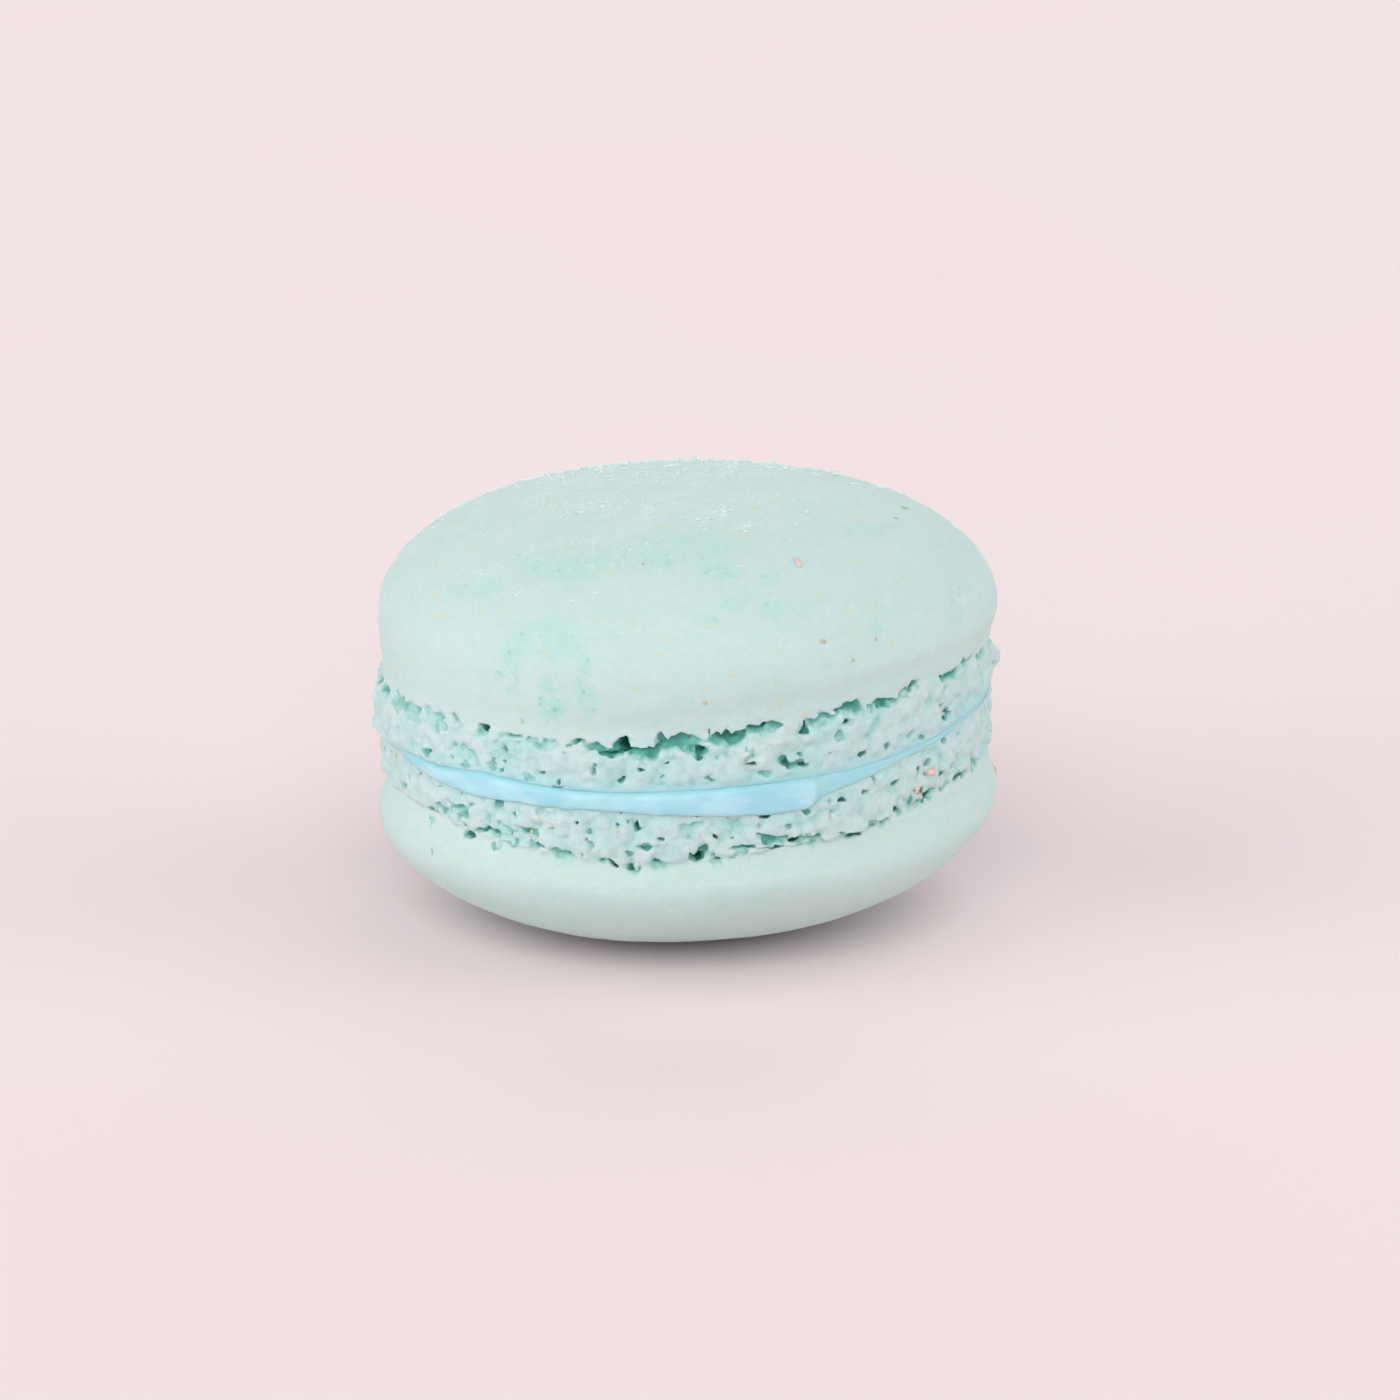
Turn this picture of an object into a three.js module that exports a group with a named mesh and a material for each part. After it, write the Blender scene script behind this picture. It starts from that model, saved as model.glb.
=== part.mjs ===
// French macaron: two almond meringue shells, each with a smooth crown and a ruffled foot,
// and a thin uneven layer of filling between the feet.
// Millimetres, +Z up. The origin is on the resting plane under the middle, and -Y is the front.

import * as THREE from 'three';

const { degToRad: radians, lerp, smoothstep } = THREE.MathUtils;

// Resolution: steps round the axis of every piece, and rings up a foot and a crown.
const STEPS_AROUND = 112;
const FOOT_RINGS = 6;
const CROWN_RINGS = 8;
const BEAD_RINGS = 3;

// Foot of a shell: it swells between the flat face and the groove under the lip.
const FOOT_RADIUS = 22.2;
const FOOT_EDGE_ROUND = 0.7;
const FOOT_REACH = 0.92;
const GROOVE_RADIUS = 21.3;
const GROOVE_HEIGHT = 0.45;

// Skin of a shell: a short flange from the lip to a soft crease, then a wall out to the widest line.
const FLANGE_RADIUS = 21.9;
const FLANGE_HEIGHT = 1.3;
const FLANGE_SHARE = 0.6;
const CREASE_RADIUS = 22.0;
const WALL_RING = 0.45;

// The shells. Up is 1 for the shell that stands right way up and -1 for the one that lies on its crown.
// The crown is a superellipse in section: crownBend shapes its plan side and shoulderBend its height.
// Waves are slow rises and falls round an edge: [how many, height, turn in degrees].
// Leans are in degrees, and lift the side at +X.
const UPPER = {
  up: 1,
  radius: 22.5,
  widest: 23.0,
  crownHeight: 8.3,
  crownBend: 2.8,
  shoulderBend: 1.96,
  crownLean: 0.5,
  lip: 19.2,
  lipLean: 3.75,
  lipWaves: [[2, 0.23, 83], [3, 0.25, 137]],
  footSpread: 0.6,
  seed: 0.7,
};
const LOWER = {
  up: -1,
  radius: 22.6,
  widest: 8.35,
  crownHeight: 8.75,
  crownBend: 2.3,
  shoulderBend: 1.7,
  crownLean: 1.85,
  lip: 10.85,
  lipLean: 2.65,
  lipWaves: [[2, 0.52, 8], [3, 0.38, 101]],
  footSpread: 0.1,
  seed: 3.9,
};

// Filling: the middle of the layer, and the bead at its edge.
const FILLING_HEIGHT = 14.9;
const FILLING_LEAN = 3.8;
const FILLING_WAVES = [[2, 0.38, 0], [3, 0.27, 52]];
const FILLING_THICKNESS = 1.1;
const FILLING_RADIUS = 22.0;
const FLAT_RADIUS = 15;
const BEAD_ROUND = 0.6;
const GAP = 0.06;

// Directions are in degrees round the axis from +X, towards +Y, and widths are how far a bump spreads.
// The filling swells at the front, and the feet nearly close over it at both sides.
const SWELL = { at: 262, width: 48, thicker: 0.5, out: 0.25 };
const RIGHT_PINCH = { at: 0, width: 45, thinner: 0.55, back: 0.5 };
const LEFT_PINCH = { at: 180, width: 25, thinner: 0.5 };
const FOOT_SPREAD = { at: 180, width: 30 };

// Unevenness of the baked shells.
const RUFFLE_DEPTH = 0.75;
const RUFFLE_MEAN = 0.6;
const RUFFLE_TIERS = 2;
const RUFFLE_COUNT = 28;
const TIER_SPREAD = 0.3;
const TIER_TURN = 1.4;
const OUTLINE_WOBBLE = 0.12;
const CROWN_WOBBLE = 0.15;

const SHELL_FINISH = { color: '#c9e3e0', roughness: 0.85, metalness: 0 };
const FILLING_FINISH = { color: '#aadfe8', roughness: 0.4, metalness: 0 };

// Smooth periodic unevenness between about -1 and 1.
function wobble(angle, seed) {
  return 0.5 * Math.sin(2 * angle + seed)
    + 0.3 * Math.sin(3 * angle + 2.1 * seed)
    + 0.2 * Math.sin(5 * angle + 3.7 * seed);
}

// Sum of slow waves round an edge.
function waveHeight(waves, angle) {
  let sum = 0;
  for (const [times, height, turn] of waves) {
    sum += height * Math.cos(times * angle + radians(turn));
  }
  return sum;
}

// A smooth bump of height 1 in one direction, falling off over its width.
function bump(angle, { at, width }) {
  return Math.exp((Math.cos(angle - radians(at)) - 1) / (1 - Math.cos(radians(width))));
}

// Rounded lumps in staggered tiers: 1 on top of a lump and 0 between lumps.
function ruffle(angle, level, seed) {
  let height = 0;
  for (let tier = 0; tier < RUFFLE_TIERS; tier += 1) {
    const middle = (tier + 0.5) / RUFFLE_TIERS;
    const turn = seed + TIER_TURN * tier + 0.5 * Math.sin(4 * angle + seed);
    const lump = Math.abs(Math.cos((RUFFLE_COUNT * angle) / 2 + turn)) ** 0.6;
    height = Math.max(height, lump * Math.exp(-(((level - middle) / TIER_SPREAD) ** 2)));
  }
  return height;
}

// Point at a radius, a direction and a height, lifted towards +X by a lean in degrees,
// and no lower than the resting plane, which makes the flat spot.
function leanedPoint(radius, angle, height, lean) {
  const across = radius * Math.cos(angle);
  const lifted = height + across * Math.tan(radians(lean));
  return new THREE.Vector3(across, radius * Math.sin(angle), Math.max(lifted, 0));
}

// Height of the filling's surface before its lean, on the side that up names.
function faceHeight(up, radius, angle, gap) {
  const edge = smoothstep(radius, FLAT_RADIUS, FILLING_RADIUS - BEAD_ROUND);
  const swell = SWELL.thicker * bump(angle, SWELL);
  const pinch = RIGHT_PINCH.thinner * bump(angle, RIGHT_PINCH) + LEFT_PINCH.thinner * bump(angle, LEFT_PINCH);
  const half = (FILLING_THICKNESS / 2) * (1 + edge * (swell - pinch));
  return FILLING_HEIGHT + edge * waveHeight(FILLING_WAVES, angle) + up * (half - gap);
}

// Stations of a shell's half section, from the middle of its flat face out to the foot and over the crown.
// Each names its zone, its radius, and its level in that zone.
function shellStations(shell) {
  const stations = [
    { zone: 'face', radius: 0, level: 0 },
    { zone: 'face', radius: FLAT_RADIUS, level: 0 },
  ];
  for (let ring = 0; ring < FOOT_RINGS; ring += 1) {
    const level = ring / (FOOT_RINGS - 1);
    const fromMiddle = Math.abs(2 * level - 1) ** 3;
    stations.push({ zone: 'foot', radius: FOOT_RADIUS - FOOT_EDGE_ROUND * fromMiddle, level });
  }
  stations.push({ zone: 'flange', radius: GROOVE_RADIUS, level: -GROOVE_HEIGHT });
  stations.push({ zone: 'flange', radius: FLANGE_RADIUS, level: 0 });
  for (const level of [0, WALL_RING]) {
    const radius = lerp(CREASE_RADIUS, shell.radius, Math.sin((Math.PI / 2) * level));
    stations.push({ zone: 'wall', radius, level });
  }
  for (let ring = 0; ring < CROWN_RINGS; ring += 1) {
    const turn = (Math.PI / 2) * (ring / CROWN_RINGS);
    const radius = shell.radius * Math.cos(turn) ** (2 / shell.crownBend);
    stations.push({ zone: 'crown', radius, level: Math.sin(turn) ** (2 / shell.shoulderBend) });
  }
  stations.push({ zone: 'crown', radius: 0, level: 1 });
  return stations;
}

// Place of one station of a shell in one direction round the axis.
function shellPoint(shell, { zone, radius, level }, angle) {
  const outline = OUTLINE_WOBBLE * wobble(angle, shell.seed + 1);
  const lip = shell.lip + waveHeight(shell.lipWaves, angle);
  const face = faceHeight(shell.up, radius, angle, 0);
  if (zone === 'face') {
    return leanedPoint(radius, angle, face, FILLING_LEAN);
  }
  if (zone === 'foot') {
    const lumps = RUFFLE_DEPTH * (ruffle(angle, level, shell.seed) - RUFFLE_MEAN);
    const spread = shell.footSpread * bump(angle, FOOT_SPREAD);
    const height = lerp(face, lip - shell.up * GROOVE_HEIGHT, FOOT_REACH * level);
    const lean = lerp(FILLING_LEAN, shell.lipLean, level);
    return leanedPoint(radius + outline + lumps + spread, angle, height, lean);
  }
  if (zone === 'flange') {
    return leanedPoint(radius + outline, angle, lip + shell.up * level, shell.lipLean);
  }
  if (zone === 'wall') {
    const leanShare = radius * Math.cos(angle) * Math.tan(radians(shell.lipLean - shell.crownLean));
    const room = shell.up * (shell.widest - lip - leanShare);
    const flange = Math.min(FLANGE_HEIGHT, FLANGE_SHARE * room);
    const height = shell.widest - shell.up * (room - flange) * (1 - level);
    return leanedPoint(radius + outline, angle, height, shell.crownLean);
  }
  const rim = radius / shell.radius;
  const unevenness = CROWN_WOBBLE * 4 * rim * (1 - rim) * wobble(angle, shell.seed + 2);
  const height = shell.widest + shell.up * shell.crownHeight * level + unevenness;
  return leanedPoint(radius + outline * rim, angle, height, shell.crownLean);
}

// Stations of the filling's half section, from the middle of its underside round the bead to its top.
function fillingStations() {
  const stations = [{ radius: 0, level: -1 }, { radius: FLAT_RADIUS, level: -1 }];
  for (let ring = 0; ring <= BEAD_RINGS; ring += 1) {
    const turn = Math.PI * (ring / BEAD_RINGS - 0.5);
    stations.push({ radius: FILLING_RADIUS - BEAD_ROUND * (1 - Math.cos(turn)), level: Math.sin(turn) });
  }
  stations.push({ radius: FLAT_RADIUS, level: 1 }, { radius: 0, level: 1 });
  return stations;
}

// Place of one station of the filling in one direction round the axis.
function fillingPoint({ radius, level }, angle) {
  const edge = smoothstep(radius, FLAT_RADIUS, FILLING_RADIUS - BEAD_ROUND);
  const bulge = SWELL.out * bump(angle, SWELL) - RIGHT_PINCH.back * bump(angle, RIGHT_PINCH);
  const low = faceHeight(-1, radius, angle, GAP);
  const high = faceHeight(1, radius, angle, GAP);
  return leanedPoint(radius + edge * bulge, angle, lerp(low, high, (level + 1) / 2), FILLING_LEAN);
}

// Turns a half section into a closed solid. The section starts and ends on the axis, lowest first,
// and pointAt gives the true place of each station in each direction.
function turnedSolid(stations, pointAt) {
  const section = stations.map((station) => new THREE.Vector2(station.radius, station.level));
  const geometry = new THREE.LatheGeometry(section, STEPS_AROUND);
  const position = geometry.getAttribute('position');
  for (let index = 0; index < position.count; index += 1) {
    const step = Math.floor(index / stations.length) % STEPS_AROUND;
    const point = pointAt(stations[index % stations.length], (step / STEPS_AROUND) * 2 * Math.PI);
    position.setXYZ(index, point.x, point.y, point.z);
  }
  geometry.computeVertexNormals();
  return geometry;
}

function buildShell(shell) {
  const stations = shellStations(shell);
  if (shell.up < 0) stations.reverse();
  return turnedSolid(stations, (station, angle) => shellPoint(shell, station, angle));
}

function namedMesh(name, geometry, finish) {
  const mesh = new THREE.Mesh(geometry, new THREE.MeshStandardMaterial(finish));
  mesh.name = name;
  return mesh;
}

function buildMacaron() {
  const macaron = new THREE.Group();
  macaron.add(namedMesh('upper_shell', buildShell(UPPER), SHELL_FINISH));
  macaron.add(namedMesh('filling', turnedSolid(fillingStations(), fillingPoint), FILLING_FINISH));
  macaron.add(namedMesh('lower_shell', buildShell(LOWER), SHELL_FINISH));
  return macaron;
}

export default buildMacaron();
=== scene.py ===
"""Looks of a mint macaron on a pale studio floor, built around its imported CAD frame.

Lengths are millimetres until a mesh is made, which turns them into metres. Directions round the
axis run from +X towards +Y, so the front is at -90 degrees. Pixels are places in the picture that
the camera takes, counted from its top left corner.
"""

import math

import bmesh
import bpy
import numpy as np
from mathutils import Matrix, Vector


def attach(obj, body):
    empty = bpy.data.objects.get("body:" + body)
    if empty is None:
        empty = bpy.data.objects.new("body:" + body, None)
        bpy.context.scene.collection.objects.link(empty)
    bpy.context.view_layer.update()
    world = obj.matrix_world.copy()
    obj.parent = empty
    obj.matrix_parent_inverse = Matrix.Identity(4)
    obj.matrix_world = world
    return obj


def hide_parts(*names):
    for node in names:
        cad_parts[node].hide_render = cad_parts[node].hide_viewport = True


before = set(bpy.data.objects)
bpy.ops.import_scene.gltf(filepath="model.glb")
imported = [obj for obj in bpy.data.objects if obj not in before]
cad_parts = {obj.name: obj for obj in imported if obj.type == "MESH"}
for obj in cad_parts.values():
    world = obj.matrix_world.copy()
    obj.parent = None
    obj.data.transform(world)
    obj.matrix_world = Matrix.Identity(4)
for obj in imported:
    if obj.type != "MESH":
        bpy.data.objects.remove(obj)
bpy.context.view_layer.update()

METRES = 0.001
TURN = 2 * math.pi

# Camera: it looks at AIM from a distance, above the horizon, and its picture is square.
AIM = np.array([0.847, 0.0, 15.417])
DISTANCE = 400.0
ELEVATION = math.radians(16.0)
LENS = 140.9
SENSOR = 36.0
PICTURE = 1400
CLIP = (0.01, 20)
FORWARD = np.array([0.0, math.cos(ELEVATION), -math.sin(ELEVATION)])
UPWARD = np.array([0.0, math.sin(ELEVATION), math.cos(ELEVATION)])
RIGHTWARD = np.array([1.0, 0.0, 0.0])
EYE = AIM - DISTANCE * FORWARD
PIXEL = DISTANCE * SENSOR / LENS / PICTURE

# Resolution of a foot: steps round the axis, rows over the start of its flat face, up the foot and
# over the start of the skin, and layers through the depth of its holes.
STEPS = 832
FACE_ROWS = 3
FOOT_ROWS = 31
SKIN_ROWS = 13
ROW = 0.125
LAYERS = np.concatenate([[-2.7, -2.2, -1.75, -1.35], np.arange(-1.02, 1.4, 0.12)])
ANGLES = np.arange(STEPS) * TURN / STEPS
MIDWAY = (np.arange(STEPS) + 0.5) * TURN / STEPS

# Rings over a crown: their spacing by the rim and on top, and the share of the way up over which it
# grows; the spacing under the widest line, the gap left round the pole, how close the points of a
# ring may come before every second one is left out, and the most that may be left out.
CROWN_SPACING = (0.34, 0.85)
SPACING_GROWS = (0.05, 0.5)
WALL_SPACING = 0.3
POLE_GAP = 0.3
CLOSEST_SPOKES = 0.3
WIDEST_STRIDE = 32
PROFILE_STEPS = 4000

# Outline of a shell, as in the CAD part: foot, lip, crease and crown. The flat faces inside are
# closed by rings at shares of FACE_RADIUS.
FOOT_RADIUS = 22.05
LIP_RADIUS = 21.95
EDGE_RADIUS = 22.1
FACE_RADIUS = 15.0
FACE_RINGS = (0.8, 0.55, 0.3, 0.12)
FACE_GAP = 0.5
SKIN_HEIGHT = 2.0
SKIN_SHARE = 0.85
FLANGE_BLEND = (-0.6, 0.1)
EDGE_ROUND = 0.09
OUTLINE_WOBBLE = 0.1
WOBBLES = ((2, 0.5, 1.0), (3, 0.3, 2.1), (5, 0.2, 3.7))
SPREAD_AT = (180, 30)
CREASE_FADE = 0.6
CREASE_FADES_AT = (-145, 35)
LIP_ROLL = 0.04
LIP_ROLL_REACH = 0.22

# The shells. radius and widest: the widest line's radius and height. crown_bend and shoulder_bend:
# how full the crown's section is. lip, lip_lean and lip_waves: the lip's height, its slope in degrees
# and its slow waves. crease: how far above the lip, how wide and how deep. foot_spread, lip_spread:
# how much wider at the left. lumps, buds: the strength of folds and rounded bumps. calm_lip: how much
# smoother by the lip. ledge: how far the foot stands out under the lip. drift: where the crown's top
# lies across. stain: how blue the filling has made the foot.
UPPER = dict(
    name="upper_shell", up=1, radius=22.5, widest=23.0, crown_height=8.3,
    crown_bend=2.8, shoulder_bend=1.96, crown_lean=0.5, drift=0.0, crease=(1.25, 0.85, 0.2),
    lip=19.2, lip_lean=3.75, lip_waves=((2, 0.23, 83), (3, 0.25, 137)),
    foot_spread=0.75, lip_spread=0.4, lumps=0.16, buds=1.0, calm_lip=0.5, ledge=-0.03, stain=1.0,
    seed=11,
)
LOWER = dict(
    name="lower_shell", up=-1, radius=22.6, widest=8.35, crown_height=8.75,
    crown_bend=2.25, shoulder_bend=1.7, crown_lean=1.85, drift=-0.3, crease=(1.0, 0.7, 0.17),
    lip=10.85, lip_lean=2.65, lip_waves=((2, 0.52, 8), (3, 0.38, 101)),
    foot_spread=0.15, lip_spread=0.0, lumps=0.35, buds=1.0, calm_lip=0.2, ledge=0.2, stain=0.25,
    seed=23,
)

# Layers of unevenness: each layer's height, the distance between its bumps, and its seed.
NOISE_CELLS = 32
RAGGED_LIP = ((0.2, 0.9, 1), (0.14, 0.4, 2))
FOOT_GRAIN = ((0.04, 0.42, 5), (0.12, 4.0, 6))
FOOT_BUDS = ((0.5, 1.5, 30), (0.26, 0.75, 31), (0.08, 0.42, 32))
BEND_ACROSS = ((0.38, 0.75, 7), (0.28, 0.36, 8))
BEND_UP = ((0.3, 0.65, 9), (0.26, 0.34, 10))
TORN_EDGE = ((0.22, 0.5, 12),)
SKIN_LIFT = ((0.1, 6.0, 20), (0.035, 1.8, 21))
CREAM_TOP = ((0.04, 1.1, 97),)
CREAM_BOTTOM = ((-0.09, 1.7, 95), (-0.05, 0.7, 96))
SUGAR_PATCHES = ((1.0, 3.2, 71), (0.5, 1.2, 72))

# Shape of the feet. Folds are layers too: height, distance, the height at which they flatten, and
# seed. A pair says at which distance from the lip or the face a change starts and ends, or a direction
# and a width in degrees; SKIN_CALMS counts rows from the grid's end.
BUDS_MIDDLE = 0.63
FOOT_FOLDS = ((1.0, 1.9, 0.45, 3), (0.7, 0.85, 0.3, 4))
FOLDS_MIDDLE = 0.39
LIP_BLEND = (-0.3, 0.05)
CALM_AT_LIP = (-0.5, 0)
CALM_AT_FACE = (0.05, 0.6)
CALM_FACE = 0.85
FOOT_SWELL = 0.12
SWELL_FULLNESS = 0.8
LEDGE_AT = (-65, 22)
LEDGE_BELOW_LIP = 0.35
LEDGE_TALL = 0.3
HIDDEN_LEDGE = 0.6
HIDDEN_LEDGE_WAVES = 5
FRONT = (-90, 60)
SKIN_CALMS = (5, 1)
SKIN_LIFT_GROWS = 2.5
LIFT_UPWARD = 0.1

# Lumps that stand out of the upper foot: x, y and size in pixels, then the height in mm.
FOOT_LUMPS = (
    (999, 655, 9, 0.7), (374, 722, 12, 0.35), (747, 754, 5, 0.28), (762, 761, 7, 0.36), (779, 743, 9, 0.32),
    (814, 736, 6, 0.3), (637, 757, 6, 0.3), (664, 760, 6, 0.26), (842, 745, 8, 0.28), (868, 728, 8, 0.3),
    (905, 712, 7, 0.28), (558, 757, 8, 0.3), (528, 752, 8, 0.28), (597, 760, 6, 0.26), (926, 698, 7, 0.3),
)
LUMP_RADIUS = EDGE_RADIUS + 0.1

# Filling: its height, lean in degrees and slow waves where nothing shows. It is thinner at the right
# and left ends, and set back there: how much, the direction and how far round. Edge heights are
# smoothed and return to the plain line within TAPER degrees of the last pixel that shows.
FILLING_HEIGHT = 14.9
FILLING_LEAN = 3.8
FILLING_WAVES = ((2, 0.38, 0), (3, 0.27, 52))
FILLING_THICKNESS = 1.0
FILLING_THINNEST = 0.12
FILLING_PINCHES = ((0.55, 0, 45), (0.22, -8, 20), (0.75, 180, 15))
FILLING_RECESSES = ((0.4, 4, 22), (0.4, 180, 14))
FILLING_PROUD = 0.05
FILLING_LEVELS = 23
FILLING_TUCK = 0.14
FILLING_ROUND = 0.04
FILLING_FULLNESS = (4.5, 2.4)
CREAM_UNEVEN = ((0.05, 2.2, 91, (1, 1, 1)), (0.03, 0.8, 92, (1, 1, 2.5)))
TAPER = 18
EDGE_SMOOTHINGS = 3

# The thick bead of filling at the front: its two ends in pixels, how far it stands out, and how
# round its right end is, in mm. Then small nicks in it: x, y, width and height in pixels.
BEAD_ENDS = ((398, 745), (819, 792))
BEAD_PROUD = 0.34
BEAD_CORNER = 0.9
BEAD_STARTS = 6
BEAD_STOPS = 0.55
NICK_DEPTH = 0.12
FILLING_NICKS = ((588, 799, 9, 3), (547, 793, 5, 4), (681, 794, 5, 3), (783, 796, 4, 5))

# Edges that show at the front, left to right, in pixels of the picture.
UPPER_LIP_EDGE = (
    (392, 691), (418, 710), (460, 722), (500, 730), (545, 743), (600, 747), (640, 742), (670, 739),
    (700, 737), (760, 725), (820, 716), (855, 706), (900, 692), (930, 678), (960, 667), (980, 655),
)
FILLING_TOP_EDGE = (
    (400, 746), (420, 757), (440, 767), (480, 773), (520, 783), (560, 791), (600, 794), (680, 793),
    (740, 788), (800, 781), (860, 769), (900, 755), (940, 736), (968, 714),
)
FILLING_BOTTOM_EDGE = (
    (405, 752), (440, 780), (480, 795), (520, 802), (600, 808), (660, 813), (740, 814), (800, 809),
    (815, 805), (820, 796), (860, 780), (900, 758), (940, 738), (962, 721),
)
LOWER_LIP_EDGE = (
    (394, 788), (415, 803), (450, 823), (480, 838), (520, 850), (560, 858), (600, 864), (627, 869),
    (660, 867), (700, 862), (740, 859), (780, 849), (820, 843), (860, 834), (895, 817), (930, 798),
    (962, 780), (980, 764),
)

# Shape of the holes. PIT_DEPTH: share of its depth that a pit no deeper than DEEPEST keeps. A trough's
# floor rises over FLOOR_RISES of its height.
HOLE_POWER = 1.6
HOLE_GROWTH = 0.03
HOLE_MARGIN = (0.7, 0.6)
HOLE_FACING = 0.35
PIT_DEPTH = 0.75
DEEPEST = 1.9
FLOOR_DISH = 0.35
FLOOR_RISES = (0.1, 1)
FLOOR_LIFT = 0.05
TROUGH_UNDERCUT = 0.5
BEND_LEAST = 0.35
BEND_FULL_AT = 0.4

# Holes where nothing shows are scattered: the front's own holes lie between these two directions.
# Sizes are ranges of half width, half height and depth, and levels are shares of the foot.
SEEN_FROM = math.radians(-172)
SEEN_TO = math.radians(-8)
HIDDEN_HOLES = 140
LIP_HOLE_SHARE = 0.45
LIP_HOLE_LEVEL = (0.9, 0.04)
LIP_HOLE_SIZES = ((0.3, 1.8), (0.25, 0.7), (0.4, 1.3))
FOOT_HOLE_LEVEL = (0.08, 0.9)
FOOT_HOLE_SIZES = ((0.15, 0.5), (0.14, 0.33), (0.4, 1.8))
PINHOLES = 90
PINHOLE_SIZE = (0.08, 0.16)
PINHOLE_LEVEL = (0.05, 0.97)
PINHOLE_WIDER = (1, 2)
PINHOLE_DEPTH = (0.15, 0.4)

# Torn hollows in the feet, with a sharp upper edge: the middle, width and height in pixels, then
# the depth in mm.
UPPER_TROUGHS = (
    (646, 757, 34, 20, 1.1), (674, 749, 38, 24, 1.0), (729, 740, 40, 18, 1.3), (757, 733, 24, 13, 0.8),
    (822, 722, 30, 12, 0.5), (849, 712, 26, 18, 0.8), (884, 706, 30, 12, 0.8), (902, 697, 22, 8, 0.5),
    (952, 677, 24, 12, 0.8), (967, 664, 18, 12, 0.6), (984, 655, 14, 10, 0.5), (389, 690, 10, 10, 0.6),
    (400, 704, 12, 22, 0.45), (416, 716, 12, 20, 0.45), (435, 721, 16, 18, 0.4), (455, 720, 8, 8, 0.5),
    (484, 737, 14, 10, 0.5), (512, 739, 22, 9, 0.35), (540, 746, 34, 10, 0.35), (578, 745, 18, 6, 0.5),
    (600, 752, 24, 8, 0.6), (505, 757, 50, 26, 0.2), (466, 757, 18, 18, 0.25), (696, 744, 20, 10, 0.5),
    (791, 767, 24, 13, 0.6),
)
LOWER_TROUGHS = (
    (774, 841, 32, 14, 0.6), (812, 843, 28, 12, 0.5), (849, 836, 28, 5, 0.5), (878, 826, 24, 10, 0.5),
    (898, 814, 12, 8, 0.8), (931, 796, 16, 12, 0.6), (962, 777, 16, 10, 0.9), (978, 764, 10, 14, 0.6),
    (484, 832, 22, 10, 0.7), (457, 812, 20, 14, 0.6), (524, 834, 18, 14, 0.6), (536, 848, 14, 8, 0.6),
    (589, 846, 14, 10, 0.5), (605, 865, 22, 10, 0.7), (407, 790, 10, 12, 0.35), (440, 810, 12, 8, 0.5),
    (630, 872, 14, 8, 0.5), (660, 866, 16, 10, 0.5), (650, 849, 20, 10, 0.4), (914, 806, 16, 8, 0.4),
    (505, 845, 24, 8, 0.4), (562, 858, 22, 8, 0.4), (548, 815, 18, 14, 0.25), (690, 835, 26, 16, 0.3),
)

# Pits that show in the feet: the middle, width and height in pixels, then the depth in mm.
UPPER_HOLES = (
    (483, 731, 10, 12, 2.0), (624, 747, 18, 20, 2.2), (612, 755, 24, 7, 1.8), (701, 753, 15, 13, 1.8),
    (747, 731, 6, 8, 0.6), (765, 725, 9, 7, 2.3), (775, 724, 10, 6, 0.8), (804, 730, 10, 13, 1.6),
    (801, 735, 10, 5, 1.2), (849, 723, 10, 7, 1.5), (915, 687, 6, 8, 1.4), (947, 714, 11, 9, 1.3),
    (789, 763, 9, 7, 1.6), (786, 767, 11, 6, 1.2), (805, 766, 11, 7, 1.2), (751, 762, 5, 5, 1.6),
    (748, 752, 5, 12, 0.4), (766, 773, 10, 6, 0.5), (708, 777, 8, 7, 0.6), (667, 764, 5, 4, 0.8),
    (642, 770, 6, 4, 0.9), (619, 780, 6, 6, 0.8), (593, 769, 5, 7, 0.8), (563, 781, 6, 6, 1.5),
    (560, 788, 12, 4, 0.5), (542, 770, 6, 4, 1.0), (530, 778, 12, 10, 0.5), (503, 751, 5, 5, 0.8),
    (502, 772, 5, 3, 1.2), (492, 768, 8, 10, 0.35), (465, 764, 10, 8, 0.45), (452, 755, 4, 3, 1.0),
    (429, 750, 8, 6, 1.0), (437, 716, 7, 7, 0.6), (454, 719, 6, 5, 0.6), (440, 725, 14, 12, 0.35),
    (427, 710, 10, 8, 0.35), (389, 689, 8, 6, 0.7), (401, 703, 10, 12, 0.5), (412, 712, 16, 18, 0.35),
    (864, 755, 8, 6, 0.9), (884, 745, 8, 6, 0.5), (898, 739, 4, 3, 0.7), (838, 738, 12, 8, 0.35),
    (575, 743, 10, 3, 1.0), (568, 746, 8, 3, 0.6), (540, 744, 16, 9, 0.35), (512, 737, 14, 4, 0.6),
    (592, 748, 12, 5, 0.6), (944, 690, 8, 8, 0.3),
)
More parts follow.
